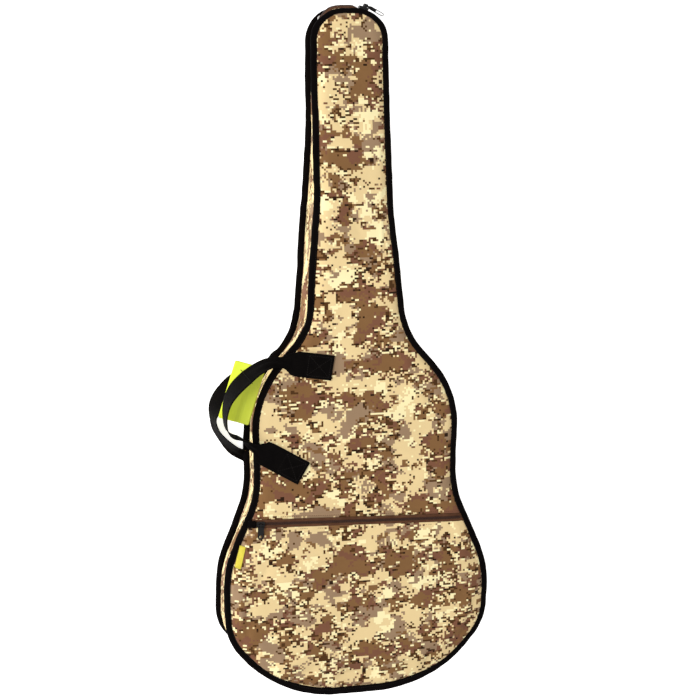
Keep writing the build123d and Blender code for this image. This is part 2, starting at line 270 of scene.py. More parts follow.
def solid_material(name, low, high, roughness, metallic=0.0, scale=300.0, depth=0.05, gloss=0.3):
    """Moulded, plated or enamelled stock with fine mottling and small scratches."""
    g = Graph(name, roughness, metallic=metallic, gloss=gloss)
    place = g.object_place()
    mottle = g.noise(place, scale, 5.0)
    scratch = g.noise(g.vector("MULTIPLY", place, (1.0, 9.0, 2.0)), 3 * scale, 3.0)
    g.into("Base Color", g.mix(mottle, low, high))
    g.into("Roughness", g.math("MULTIPLY_ADD", scratch, 0.3, roughness - 0.15))
    g.bump(g.math("ADD", mottle, g.math("MULTIPLY", scratch, 0.5)), depth, 0.5)
    return g.material


def card_material():
    """Printed card: a lime wash that turns greener to one side, with a plain band of painted shade along its
    crease, and a glow in its own colour that is painted light.
    """
    g = Graph("tag_card", 0.42)
    place = g.cloth_place()
    u, v, _ = g.split(place)
    across = g.math("DIVIDE", u, 48 * MM)
    wash = g.mix(g.math("MULTIPLY_ADD", g.noise(place, 18.0, 2.0), 0.5, g.math("MULTIPLY", across, 0.5)),
                 srgb(210, 226, 50), srgb(204, 213, 84))
    # Painted shade: the band along the card's crease is mixed towards a darker, duller green.
    fold = g.math("LESS_THAN", g.math("ABSOLUTE", g.math("SUBTRACT", across, 0.62)), 0.09)
    wash = g.mix(g.math("MULTIPLY", fold, 0.3), wash, srgb(182, 194, 62))
    g.into("Base Color", wash)
    # Painted light: the card gives off its own colour, so that it stays bright where the strap shades it.
    g.into("Emission Color", wash)
    g.shader.inputs["Emission Strength"].default_value = 0.32
    g.bump(g.noise(place, 700.0, 3.0), 0.04, 0.4)
    return g.material


def floor_material():
    """A white floor that gives off some light of its own."""
    g = Graph("studio_floor", 0.9)
    place = g.object_place()
    g.into("Base Color", g.mix(g.noise(place, 6.0, 3.0), (0.93, 0.93, 0.93, 1), (0.97, 0.97, 0.97, 1)))
    g.shader.inputs["Emission Color"].default_value = (1.0, 1.0, 1.0, 1.0)
    g.shader.inputs["Emission Strength"].default_value = 0.8
    return g.material


THREAD = {"roughness": 0.7, "scale": 900.0, "gloss": 0.1}
CAMO = camo_material()
LINING = lining_material()
WEBBING = webbing_material("handle_webbing", 1.6, srgb(3, 2, 2), srgb(15, 12, 11))
BINDING = webbing_material("binding_tape", 1.1, srgb(3, 2, 2), srgb(17, 12, 12))
ZIP_TAPE = webbing_material("zipper_tape", 1.2, srgb(58, 34, 24), srgb(116, 80, 58))
LABEL = webbing_material("label_fabric", 0.8, srgb(190, 173, 48), srgb(238, 222, 98), 0.6)
THREAD_BLACK = solid_material("thread_black", srgb(12, 10, 10), srgb(40, 36, 34), **THREAD)
THREAD_BROWN = solid_material("thread_brown", srgb(60, 36, 22), srgb(112, 76, 50), **THREAD)
COIL = solid_material("zipper_coil", srgb(36, 20, 14), srgb(82, 52, 38), 0.45, scale=700.0)
STEEL = solid_material("pull_tip_metal", srgb(190, 190, 188), srgb(228, 228, 226), 0.32, metallic=1.0)
ENAMEL = solid_material("slider_enamel", srgb(10, 10, 11), srgb(30, 29, 29), 0.35)
PULL_PLASTIC = solid_material("pull_tab_plastic", srgb(12, 11, 12), srgb(36, 35, 35), 0.5)
BRASS = solid_material("eyelet_metal", srgb(196, 168, 96), srgb(226, 202, 130), 0.3, metallic=1.0)
LOOP_PLASTIC = solid_material("tag_loop_plastic", srgb(10, 10, 10), srgb(26, 26, 26), 0.8, gloss=0.05)
CARD = card_material()


# ---------------------------------------------------------------- the bag's plan and levels
# Each row is a corner of the right side, from the headstock down, and the radius that rounds it.
OUTLINE_CORNERS = [
    ((59.0, 522.5), 50.0),
    ((59.0, 236.9), 715.0),
    ((75.2, 45.8), 123.0),
    ((158.4, -47.5), 149.0),
    ((154.2, -200.1), 142.0),
    ((209.5, -329.6), 177.0),
    ((205.9, -421.0), 92.0),
    ((118.6, -522.5), 192.0),
]
FAR = 800.0
BEND_BODY, BEND_HEAD = 115.0, 425.0
SEAM_BODY, SEAM_HEAD = 92.0, 48.0
SPLIT_BODY, SPLIT_HEAD = 62.0, 31.0


def unit(rows):
    """Vectors scaled to length 1."""
    return rows / np.linalg.norm(rows, axis=-1, keepdims=True)


def raised(plan, z):
    """Plan points lifted to heights z."""
    return np.concatenate([plan, z[..., None]], axis=-1)


def crossed(first, second):
    """A grid of every pair of a first and a second value."""
    return np.stack(np.meshgrid(first, second, indexing="ij"), axis=-1)


def eased(t):
    """A share from 0 to 1 that starts and stops gently."""
    return t * t * (3 - 2 * t)


def part_of(value, full):
    """How much of full a value comes to, 0 to 1."""
    return np.clip(value / full, 0, 1)


def rounded_path(corners, radii, closed):
    """Dense points along a polyline with rounded corners."""
    made = []
    for i, (corner, radius) in enumerate(zip(corners, radii)):
        at = np.array(corner, float)
        if not closed and i in (0, len(corners) - 1):
            made.append(at)
            continue
        back = np.array(corners[i - 1]) - at
        on = np.array(corners[(i + 1) % len(corners)]) - at
        back, on = unit(back), unit(on)
        half = math.acos(float(np.clip(back @ on, -1, 1))) / 2
        centre = at + unit(back + on) * radius / math.sin(half)
        first = at + back * radius / math.tan(half) - centre
        last = at + on * radius / math.tan(half) - centre
        a0, a1 = math.atan2(first[1], first[0]), math.atan2(last[1], last[0])
        sweep = (a1 - a0 + math.pi) % (2 * math.pi) - math.pi
        for t in np.linspace(0, 1, max(3, int(abs(sweep) * radius) + 1)):
            a = a0 + sweep * t
            made.append(centre + radius * np.array([math.cos(a), math.sin(a)]))
    return np.array(made)


def level(y, body, head):
    """A height that is flat over the body and drops towards the headstock."""
    corners = [(-FAR, body), (BEND_BODY, body), (BEND_HEAD, head), (FAR, head)]
    path = rounded_path(corners, [0, 900.0, 600.0, 0], False)
    return np.interp(y, path[:, 0], path[:, 1])


def seam(y):
    """Where the front panel meets the wall."""
    return level(y, SEAM_BODY, SEAM_HEAD)


def split_line(y):
    """Where the main zipper parts the wall."""
    return level(y, SPLIT_BODY, SPLIT_HEAD)


def lengths(path):
    """Distances along a path, one for each of its points."""
    return np.concatenate([[0], np.cumsum(np.linalg.norm(np.diff(path, axis=0), axis=1))])


def along(path, at):
    """Points of a path at the given distances along it."""
    s = lengths(path)
    return np.stack([np.interp(at, s, path[:, k]) for k in range(path.shape[1])], axis=1)


ZIP_START_X = -45.0


def make_outline():
    """The closed outline from where the zipper starts, clockwise from the front, every millimetre."""
    right = [c for c, _ in OUTLINE_CORNERS]
    radii = [r for _, r in OUTLINE_CORNERS]
    corners = right + [(-x, y) for x, y in reversed(right)]
    path = rounded_path(corners, radii + radii[::-1], True)
    path = np.vstack([path, path[:1]])
    total = lengths(path)[-1]
    dense = along(path, np.linspace(0, total, int(total)))[:-1]
    start = next(i for i in range(len(dense))
                 if dense[i - 1][0] < ZIP_START_X <= dense[i][0] and dense[i][1] > 0)
    return np.roll(dense, -start, axis=0), total


outline, PERIMETER = make_outline()
ahead = unit(np.roll(outline, -2, axis=0) - np.roll(outline, 2, axis=0))
outward = np.stack([-ahead[:, 1], ahead[:, 0]], axis=1)
stations = np.linspace(0, PERIMETER, len(outline) + 1)


def rim(s, inset):
    """Points at distances s round the outline, moved inwards by inset."""
    s = np.asarray(s, float) % PERIMETER

    def read(rows):
        closed = np.vstack([rows, rows[:1]])
        return np.stack([np.interp(s, stations, closed[:, k]) for k in (0, 1)], axis=-1)

    return read(outline) - unit(read(outward)) * np.asarray(inset)[..., None]


def ring_of(place, inset):
    """The inset outline as place gives it, every millimetre."""
    return place(np.arange(0, PERIMETER, 1.0), inset)


def first_station(test):
    """The distance of the first outline point that passes a test."""
    return next(s for s, xy in zip(stations, outline) if test(s, xy))


ZIP_END = first_station(lambda s, xy: xy[1] < -500 and xy[0] < -110)
NECK_START = first_station(lambda s, xy: s > ZIP_END and xy[1] > BEND_BODY)

# Each row is a y and how far the left side's front seam (slouch) or back seam (spread) has settled there.
SLOUCH = np.array([
    (-420, 0), (-385, -0.8), (-350, -0.3), (-325, 2.2), (-300, 5.0), (-262, 6.8), (-225, 5.5), (-190, 5.0),
    (-150, 3.8), (-110, 3.5), (-50, 5.0), (-5, 7.0), (20, 7.5), (42, 5.0), (60, 3.0), (90, 3.0), (150, 4.5),
    (200, 3.0), (260, 1.0), (320, 0),
])
SPREAD = np.array([
    (-475, 0), (-442, 3.0), (-422, 4.5), (-398, 2.5), (-360, 0), (-262, 0), (-229, 2.0), (-200, 4.5),
    (-175, 6.0), (-140, 5.5), (-90, 1.5), (-50, 0), (15, 0), (38, 1.5), (62, 5.0), (85, 6.8), (140, 6.8),
    (180, 7.8), (225, 8.0), (255, 6.5), (285, 4.0), (320, 1.5), (350, 0),
])


def on_left(s, table):
    """A table's values at distances round the outline, nothing on the right side."""
    xy = rim(s, np.zeros(np.shape(s)))
    return np.where(xy[..., 0] < 0, np.interp(xy[..., 1], table[:, 0], table[:, 1]), 0.0)


def slouch(s):
    """How far the front seam has settled outwards along the left side."""
    return on_left(s, SLOUCH)


def spread(s):
    """The same for the back seam."""
    return on_left(s, SPREAD)


def front_rim(s, inset):
    """The same as rim, for the settled front panel."""
    return rim(s, np.asarray(inset) - slouch(s))


def back_rim(s, inset):
    """The same as rim, for the settled back panel."""
    return rim(s, np.asarray(inset) - spread(s))


def fuzz(points, size, seed):
    """Smooth noise from about -1 to 1 at each point."""
    shift = Vector((seed * 7.31, seed * 3.17, seed * 1.93))
    flat = np.asarray(points, float)
    shape = flat.shape[:-1]
    flat = flat.reshape(-1, flat.shape[-1])
    if flat.shape[1] == 2:
        flat = np.column_stack([flat, np.zeros(len(flat))])
    return np.array([noise.noise(Vector(p) + shift) for p in flat / np.asarray(size)]).reshape(shape)


def fuzz_line(s, size, seed):
    """The same, for distances along a closed or open line."""
    turn = 2 * math.pi * np.asarray(s) / PERIMETER
    radius = PERIMETER / 2 / math.pi
    return fuzz(np.stack([radius * np.cos(turn), radius * np.sin(turn), 0 * turn], axis=-1), size, seed)


# ---------------------------------------------------------------- mesh makers
UP = np.array([0.0, 0.0, 1.0])


def turns(count):
    """Angles that divide a full turn."""
    return np.linspace(0, 2 * math.pi, count, endpoint=False)


def piece(name, points, faces, material, uv=None, body=None, stands_for=()):
    """A finished mesh object that rides on a body."""
    mesh = bpy.data.meshes.new(name)
    mesh.from_pydata((np.asarray(points) * MM).tolist(), [], [tuple(map(int, f)) for f in faces])
    if uv is not None:
        layer = mesh.uv_layers.new(name="cloth")
        layer.data.foreach_set("uv", (np.asarray(uv, float) * MM).ravel())
    mesh.polygons.foreach_set("use_smooth", [True] * len(mesh.polygons))
    mesh.materials.append(material)
    mesh.update()
    made = link(name, mesh)
    if stands_for:
        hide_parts(*stands_for)
    if body:
        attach(made, body)
    return made


def grid_quads(rows, cols):
    """Corner indices (row, column) of each cell of a grid."""
    i, j = np.meshgrid(np.arange(rows), np.arange(cols), indexing="ij")
    i, j = i.ravel(), j.ravel()
    return np.stack([np.stack([i, j], 1), np.stack([i + 1, j], 1),
                     np.stack([i + 1, j + 1], 1), np.stack([i, j + 1], 1)], axis=1)


def tube(points, uv, closed):
    """Vertices, faces and corner UVs of a run of closed sections; points is (run, section, 3)."""
    n, m = points.shape[:2]
    cells = grid_quads(n if closed else n - 1, m)
    index = (cells[..., 0] % n) * m + cells[..., 1] % m
    step_u = uv[-1] * 2 - uv[-2] if closed else None
    grown = np.concatenate([uv, step_u[None]], axis=0) if closed else uv
    grown = np.concatenate([grown, grown[:, -1:] * 2 - grown[:, -2:-1]], axis=1)
    coords = grown[cells[..., 0], cells[..., 1]]
    faces, coords = [tuple(f) for f in index], [tuple(map(tuple, c)) for c in coords]
    if not closed:
        for row, flip in ((0, False), (n - 1, True)):
            for j in range(m // 2 - 1):
                quad = [(row, j), (row, j + 1), (row, m - 2 - j), (row, m - 1 - j)]
                quad = quad[::-1] if flip else quad
                faces.append(tuple(a * m + b for a, b in quad))
                coords.append(tuple(tuple(grown[a, b]) for a, b in quad))
    flat = np.array([c for f in coords for c in f])
    return points.reshape(-1, 3), faces, flat


def round_section(s, inset, z):
    """Sections of a band round the outline: inset and z are (run, section)."""
    xy = rim(np.repeat(np.asarray(s)[:, None], inset.shape[1], axis=1), inset)
    return raised(xy, z)


def band_uv(s, inset, z):
    """Cloth coordinates of such a band: along it, and round its section."""
    girth = np.concatenate([[0], np.cumsum(np.hypot(np.diff(inset.mean(0)), np.diff(z.mean(0))))])
    return crossed(s, girth)


def pill(length, width, height):
    """A small rounded bar along x, standing on z = 0."""
    sides = 6
    verts, faces = [], []
    for x, girth in [(-0.36, 0.75), (0.0, 1.0), (0.36, 0.75)]:
        for a in turns(sides):
            verts.append((x * length, math.cos(a) * width / 2 * girth, math.sin(a) * height * girth))
    tip = len(verts)
    last = tip - sides
    verts += [(-length / 2, 0, 0), (length / 2, 0, 0)]
    for ring in range(0, last, sides):
        for k in range(sides):
            n = (k + 1) % sides
            faces.append((ring + k, ring + sides + k, ring + sides + n, ring + n))
    for k in range(sides):
        n = (k + 1) % sides
        faces.append((tip, k, n))
        faces.append((tip + 1, last + n, last + k))
    return np.array(verts), faces


def scatter(shape, centres, run, up):
    """Copies of a small shape, each with its x axis along run and its z axis along up."""
    verts, faces = shape
    run = unit(run)
    side = unit(np.cross(up, run))
    top = np.cross(run, side)
    turned = (verts[None, :, 0, None] * run[:, None] + verts[None, :, 1, None] * side[:, None]
              + verts[None, :, 2, None] * top[:, None])
    points = (centres[:, None] + turned).reshape(-1, 3)
    count = len(verts)
    made = [tuple(v + k * count for v in f) for k in range(len(centres)) for f in faces]
    return points, made


def stitches(name, path, up, material, body, spacing=3.4, length=2.4):
    """A row of thread stitches along a line."""
    at = np.arange(spacing / 2, lengths(path)[-1], spacing)
    mid = along(path, at)
    ahead_of = along(path, at + 0.5) - along(path, at - 0.5)
    up = np.broadcast_to(np.asarray(up, float), path.shape)
    ups = np.stack([np.interp(at, lengths(path), up[:, k]) for k in range(3)], axis=1)
    points, faces = scatter(pill(length, 0.7, 0.4), mid, ahead_of, ups)
    return piece(name, points, faces, material, body=body)


# ---------------------------------------------------------------- bindings
# Each row is a corner of the folded tape: how far in from the outline, and how far above the seam.
BINDING_PROFILE = np.array([
    (10.2, -2.6), (10.3, -0.9), (9.3, 0.2), (6.6, 0.75), (3.4, 0.7), (1.0, 0.1), (0.0, -1.4),
    (0.1, -3.0), (1.4, -4.3), (5.0, -4.6), (8.6, -4.5), (10.0, -3.8),
])
BINDING_MIDDLE, BINDING_DEPTH, BACK_BINDING_TOP = 5.0, 4.0, 7.0
HEEL_FROM, HEEL_TO = 490.0, 510.0


def heel(s):
    """1 along the bottom edge, 0 up the sides."""
    return np.interp(-rim(s, BINDING_MIDDLE)[:, 1], (HEEL_FROM, HEEL_TO), (0.0, 1.0))


def head_tuck(s):
    """How far the front binding is drawn in over the top of the headstock."""
    s = (np.asarray(s, float) + 200.0) % PERIMETER - 200.0
    return 2.2 * eased(np.interp(s, [-25.0, 10.0, 80.0, 115.0], [0, 1, 1, 0]))


def make_binding(name, top_of, body, node, seed, flip):
    """A grosgrain ring folded over the raw edges, a little uneven as sewn tape is."""
    s = np.arange(0, PERIMETER, 4.0)
    y = rim(s, BINDING_MIDDLE)[:, 1]
    sway = 1.0 * fuzz_line(s, 70.0, seed) + 0.6 * fuzz_line(s, 16.0, seed + 1)
    lift = 0.5 * fuzz_line(s, 45.0, seed + 2) + 0.15 * fuzz_line(s, 9.0, seed + 3)
    pinch = 1.0 + 0.07 * fuzz_line(s, 9.0, seed + 4)
    if flip:
        sway = sway - spread(s)
    else:
        sway = sway + head_tuck(s) - slouch(s)
        pinch = pinch + 0.03 * slouch(s) + 0.3 * heel(s)
    inset = BINDING_PROFILE[None, :, 0] * pinch[:, None] + sway[:, None]
    rise = -BINDING_DEPTH - BINDING_PROFILE[:, 1] if flip else BINDING_PROFILE[:, 1]
    z = top_of(y)[:, None] + rise[None] + lift[:, None]
    points, faces, uv = tube(round_section(s, inset, z), band_uv(s, inset, z), True)
    piece(name, points, faces, BINDING, uv, body, (node,))
    thread_rise = -4.75 if flip else 0.72
    path = raised(rim(s, 8.4 + sway), top_of(y) + lift + thread_rise)
    stitches(name + "_stitching", np.vstack([path, path[:1]]), -UP if flip else UP, THREAD_BLACK,
             body)


make_binding("front_binding", seam, "front_lid", "front_edge_binding", 1, False)
make_binding("back_binding", lambda y: BACK_BINDING_TOP + 0 * y, "back_shell", "back_edge_binding", 11,
             True)


# ---------------------------------------------------------------- walls
ROWS = 14
WALL_FOOT = 6.0
BOW_FROM, BOW_FULL, BOW_FADE, BOW_TO = 4.0, 24.0, 54.0, 68.0
BOW = 4.4
ZIP_GAP = 0.4
WALL_OUT, WALL_IN = 4.0, 9.0
LINER_OUT, LINER_IN = 9.1, 10.2
TAG_Y, TAG_Z, TAG_HOLLOW = -62.0, 74.0, 3.2
WALL_QUILT, PANEL_QUILT, QUILT_SEAM = 52.0, 58.0, 7.0


def zip_bow(s, z, y):
    """How far the zipper bows out over the top of the headstock."""
    s = np.asarray(s, float)
    rise = np.interp(s, [0, BOW_FROM, BOW_FULL, BOW_FADE, BOW_TO, PERIMETER], [0, 0, 1, 1, 0, 0])
    return BOW * eased(rise) * np.exp(-((z - split_line(y)) / 13.0) ** 2)


def foot_lean(z, settle):
    """The wall steps in over the back binding, most along the spine."""
    return (4.6 + 2.2 * settle) * np.exp(-np.maximum(z - WALL_FOOT, 0) / (10.0 + 12.0 * settle))


def tag_hollow(y, z):
    """The spine wall gives way beside the hang tag."""
    return TAG_HOLLOW * np.exp(-((y - TAG_Y) / 34.0) ** 2 - ((z - TAG_Z) / 18.0) ** 2)


def quilting(a, b, pitch, depth):
    """A puff between two sets of sewn lines, for places a and b across them."""
    near = np.minimum(np.abs(a % pitch - pitch / 2), np.abs(b % pitch - pitch / 2))
    return depth * (1 - np.exp(-(near / QUILT_SEAM) ** 2))


def wall(name, s_from, s_to, low_of, high_of, outer, inner, material, sag, seed, settle,
         quilt=0.0):
    """A padded stretch of wall.  sag says how far its outer face may bulge at each height."""
    s = np.linspace(s_from, s_to, int((s_to - s_from) / 5.0) + 2)
    y = rim(s, outer)[:, 1]
    low, high = low_of(y), high_of(y)
    f = np.linspace(0, 1, ROWS)
    z_out = low[:, None] + f[None] * (high - low)[:, None]
    place = np.stack([np.repeat(s[:, None], ROWS, 1), z_out * 1.6], axis=-1)
    folds = fuzz(place, 34.0, seed) + 0.6 * (1 - 2 * np.abs(fuzz(place, 19.0, seed + 5)))
    room = sag(z_out, low[:, None], high[:, None], y[:, None])
    lean = foot_lean(z_out, settle) - zip_bow(s[:, None], z_out, y[:, None])
    lean = lean - settle * (slouch(s)[:, None] * f[None] ** 4 + spread(s)[:, None] * (1 - f[None]) ** 1.4)
    lean = lean + settle * tag_hollow(y[:, None], z_out)
    out = outer - room * (0.55 + 0.45 * folds) + lean
    puff = quilting(s[:, None] + z_out, s[:, None] - z_out, WALL_QUILT, quilt) * np.sin(np.pi * f) ** 0.3
    inset = np.concatenate([out, (inner + puff + lean)[:, ::-1]], axis=1)
    z = np.concatenate([z_out, z_out[:, ::-1]], axis=1)
    points = round_section(s, inset, z)
    z_flat = np.concatenate([z_out, z_out[:, ::-1] + 0.01], axis=1)
    uv = np.stack([np.repeat(s[:, None], 2 * ROWS, 1), z_flat], axis=-1)
    points, faces, uv = tube(points, uv, False)
    return piece(name, points, faces, material, uv)


def slack(most):
    """Bulge that is nothing at both seams."""
    def room(z, low, high, y):
        return most * np.clip(np.sin(np.pi * (z - low) / (high - low)), 0, 1) ** 0.7
    return room


def slack_off_zip(most):
    """Bulge that also leaves the zipper flat."""
    def room(z, low, high, y):
        clear = part_of(np.abs(z - split_line(y)) - 13.0, 12.0)
        return most * np.sin(np.pi * part_of(z - low, high - low)) * clear
    return room


def flat_wall(z, low, high, y):
    """No bulge at all."""
    return 0 * z


foot = lambda y: WALL_FOOT + 0 * y
spine_top = lambda y: seam(y) - 3.6
lid_top = lambda y: seam(y) - 3.2
rear_top = lambda y: split_line(y) - ZIP_GAP
lid_foot = lambda y: split_line(y) + ZIP_GAP

# Name, body, where it runs from and to, its foot and top, its bulge and its seed.
WALL_PARTS = [
    ("rear_gusset", "back_shell", 0.0, ZIP_END, foot, rear_top, slack_off_zip(3.0), 21),
    ("front_gusset", "front_lid", 0.0, ZIP_END, lid_foot, lid_top, slack_off_zip(2.5), 23),
    ("spine_gusset_body", None, ZIP_END, NECK_START, foot, spine_top, slack(2.6), 25),
    ("spine_gusset_neck", None, NECK_START, PERIMETER, foot, spine_top, slack(2.2), 25),
]


def fold_wall(made):
    """The spine wall's placement is baked into its mesh."""
    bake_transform(made)


for name, body, first, last, low_of, high_of, sag, seed in WALL_PARTS:
    node = name.replace("_body", "").replace("_neck", "")
    settle = 0.0 if body else 1.0
    cover = wall(name + "_cover", first, last, low_of, high_of, WALL_OUT, WALL_IN, CAMO,
                 sag, seed, settle)
    liner = wall(name + "_liner", first, last, low_of, high_of, LINER_OUT, LINER_IN, LINING,
                 flat_wall, seed, settle, quilt=1.2)
    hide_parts(node + "_fabric", node + "_foam")
    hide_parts(node + "_lining")
    for made in (cover, liner):
        if body:
            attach(made, body)
        else:
            fold_wall(made)


# ---------------------------------------------------------------- main zipper
TAPE = 11.0
TOOTH_PITCH = 1.9


def facing(s):
    """Which way the wall faces, at distances round the outline."""
    return raised(rim(s, 0.0) - rim(s, 1.0), 0 * s)


def make_tape(name, near, far, body, node, seed):
    """One woven side of the main zipper, with a bead along each edge."""
    s = np.arange(1.0, ZIP_END - 1.0, 4.0)
    y = rim(s, WALL_OUT)[:, 1]
    mid = split_line(y)[:, None]
    across = np.array([0, 0.12, 0.3, 0.5, 0.7, 0.88, 1.0])
    thick = np.array([0.95, 0.75, 0.7, 0.7, 0.7, 0.8, 0.95])
    wave = 0.12 * fuzz_line(s, 14.0, seed)[:, None] + 0.12
    out = WALL_OUT - thick[None] - wave * np.sin(np.pi * across)[None]
    back = np.full(out.shape, WALL_OUT + 0.05)
    z_line = mid + near + (far - near) * across[None]
    inset = np.concatenate([out, back], axis=1)
    z = np.concatenate([z_line, z_line[:, ::-1]], axis=1)
    inset = inset - zip_bow(s[:, None], z, y[:, None])
    points, faces, uv = tube(round_section(s, inset, z), band_uv(s, inset, z), False)
    piece(name, points, faces, ZIP_TAPE, uv, body, (node,))
    z_row = split_line(y) + near + (far - near) * 0.82
    row = raised(rim(s, 3.1 - zip_bow(s, z_row, y)), z_row)
    stitches(name + "_stitching", row, facing(s), THREAD_BROWN, body)


def make_teeth(name, side, body, node):
    """The coil's turns along one side of the parting line."""
    s = np.arange(5.0 + (0.5 * TOOTH_PITCH if side > 0 else 0), ZIP_END - 5.0, TOOTH_PITCH)
    y = rim(s, 3.0)[:, 1]
    z = split_line(y) + side * 1.15
    centres = raised(rim(s, 3.05 - zip_bow(s, z, y)), z)
    run = np.repeat([UP], len(s), 0)
    points, faces = scatter(pill(3.2, 1.5, 1.7), centres, run, facing(s))
    piece(name, points, faces, COIL, body=body, stands_for=(node,))


ZIP_SIDES = [("rear", -1, "back_shell", 31), ("front", 1, "front_lid", 33)]
for word, side, body, seed in ZIP_SIDES:
    make_tape(word + "_zip_tape", side * ZIP_GAP, side * TAPE, body, word + "_zipper_tape", seed)
for word, side, body, _ in ZIP_SIDES:
    make_teeth(word + "_zip_teeth", side, body, word + "_zipper_coil")


# ---------------------------------------------------------------- padded panels
ZIP_MIDDLE = np.array([0.0, -242.6])
ZIP_TILT = math.radians(-2.0)
ZIP_ALONG = np.array([math.cos(ZIP_TILT), math.sin(ZIP_TILT)])
ZIP_UP = np.array([-math.sin(ZIP_TILT), math.cos(ZIP_TILT)])
PANEL_RISE = 6.0
PANEL_INSET, LINING_INSET = 9.5, 10.4
PANEL_COLUMNS = 61
ZIP_ROOM = 5.6
RIBBON_HALF, RIBBON_THICK = 19.0, 1.7
RIM_STEPS = [0.0, 0.9, 2.0, 3.4, 5.2, 7.6, 11.0]
FOLD_MARGIN = 22.0
HEM_AT, HEM_HALF = 6.5, 2.0


def zip_across(xy):
    """How far points lie above the pocket zipper's line."""
    return (np.asarray(xy) - ZIP_MIDDLE) @ ZIP_UP


def zip_point(u, v):
    """The plan point u along the pocket zipper's line and v above it."""
    return ZIP_MIDDLE + np.multiply.outer(u, ZIP_ALONG) + np.multiply.outer(v, ZIP_UP)


def without_flat(half, height):
    """The widest point of a side's level stretch at a height, and the side without that stretch."""
    flat = np.abs(half[:, 1] - height) < 0.02
    stretch = half[flat]
    return stretch[np.argmax(np.abs(stretch[:, 0]))], half[~flat]


def side_rails(inset, keep, place):
    """The inset outline's left and right sides where keep holds, each from its top downwards."""
    loop = ring_of(place, inset)
    rails = []
    for sign in (-1, 1):
        half = loop[(sign * loop[:, 0] >= 0) & keep(loop)]
        half = half[np.argsort(-half[:, 1], kind="stable")]
        first, half = without_flat(half, half[:, 1].max())
        last, half = without_flat(half, half[:, 1].min())
        rails.append(np.vstack([first, half, last]))
    return rails


def rail_rows(rails, step, fine=(0.0,)):
    """Matching points down both rails, closer together over the first few millimetres."""
    left, right = rails
    total = lengths(left)[-1]
    start = fine[-1]
    even = np.linspace(start, total, int((total - start) / step) + 1)
    at = np.concatenate([fine[:-1], even])
    return along(left, at), along(right, at / total * lengths(right)[-1])


def cross_rows(left, right, count):
    """A grid of plan points from the left rail to the right one, closer together at the rims."""
    t = np.linspace(-1, 1, count)
    t = 0.62 * t + 0.38 * np.sin(np.pi / 2 * t)
    f = (t + 1) / 2
    return left[:, None] * (1 - f)[None, :, None] + right[:, None] * f[None, :, None]


def plan_tree(points):
    """A search for the nearest of some plan points."""
    tree = kdtree.KDTree(len(points))
    for i, p in enumerate(points):
        tree.insert((p[0], p[1], 0.0), i)
    tree.balance()
    return tree


def distance_to(xy, line):
    """How far plan points are from a dense line, and which of its points is nearest."""
    tree = plan_tree(line)
    found = [tree.find((p[0], p[1], 0.0)) for p in xy.reshape(-1, 2)]
    far = np.array([f[2] for f in found]).reshape(xy.shape[:2])
    which = np.array([f[1] for f in found]).reshape(xy.shape[:2])
    return far, which


def surface_of(grid):
    """A function that gives the height of a grid surface at plan points."""
    flat = grid.reshape(-1, 3)
    tree = plan_tree(flat)

    def height(xy):
        made = []
        for p in np.asarray(xy).reshape(-1, 2):
            near = tree.find_n((p[0], p[1], 0.0), 4)
            weight = np.array([1 / (f[2] + 0.05) for f in near])
            made.append(float(weight @ np.array([flat[f[1]][2] for f in near]) / weight.sum()))
        return np.array(made).reshape(np.asarray(xy).shape[:-1])
    return height


def closed_pad(top, bottom):
    """Vertices and faces of a pad whose top and bottom grids share their rim."""
    n, m = top.shape[:2]
    index = np.arange(n * m).reshape(n, m)
    under = index.copy()
    inner = bottom[1:-1, 1:-1].reshape(-1, 3)
    under[1:-1, 1:-1] = n * m + np.arange(len(inner)).reshape(n - 2, m - 2)
    cells = grid_quads(n - 1, m - 1)
    i, j = cells[..., 0], cells[..., 1]
    faces = np.vstack([index[i, j], under[i, j][:, ::-1]])
    points = np.vstack([top.reshape(-1, 3), inner])
    return points, faces


SWELL_FRAMES = 20


def swell(top, bottom, pressure, extra, cap):
    """How far a pad's top moves when its cloth is blown up and is cut a little too large."""
    points, faces = closed_pad(top, bottom)
    mesh = bpy.data.meshes.new("swelling")
    mesh.from_pydata((points * MM).tolist(), [], faces.tolist())
    pad = link("swelling", mesh)
    n, m = top.shape[:2]
    held = np.zeros((n, m), bool)
    held[[0, -1], :] = True
    held[:, [0, -1]] = True
    group = pad.vertex_groups.new(name="held")
    group.add([int(k) for k in np.flatnonzero(held.ravel())], 1.0, "REPLACE")
    cloth = pad.modifiers.new("cloth", "CLOTH")
    cloth.point_cache.frame_start, cloth.point_cache.frame_end = 1, SWELL_FRAMES
    settings = cloth.settings
    settings.quality = 4
    settings.mass = 0.3
    settings.use_pressure = True
    settings.uniform_pressure_force = pressure
    settings.shrink_min = -extra
    settings.vertex_group_mass = "held"
    settings.bending_stiffness = 0.4
    settings.effector_weights.gravity = 0.0
    cloth.collision_settings.use_collision = False
    for f in range(1, SWELL_FRAMES + 1):
        scene.frame_set(f)
    posed = pad.evaluated_get(bpy.context.evaluated_depsgraph_get()).to_mesh()
    moved = np.zeros(len(posed.vertices) * 3, np.float32)
    posed.vertices.foreach_get("co", moved)
    scene.frame_set(1)
    bpy.data.objects.remove(pad)
    rise = moved.reshape(-1, 3)[: n * m].reshape(n, m, 3) / MM - top
    size = np.linalg.norm(rise, axis=2, keepdims=True)
    return rise * np.minimum(1, cap / np.maximum(size, 1e-6))


def smooth(grid, times):
    """A few rounds of neighbour averaging that leave the rim alone."""
    grid = grid.copy()
    for _ in range(times):
        inner = (grid[:-2, 1:-1] + grid[2:, 1:-1] + grid[1:-1, :-2] + grid[1:-1, 2:]) / 4
        grid[1:-1, 1:-1] = 0.5 * grid[1:-1, 1:-1] + 0.5 * inner
    return grid


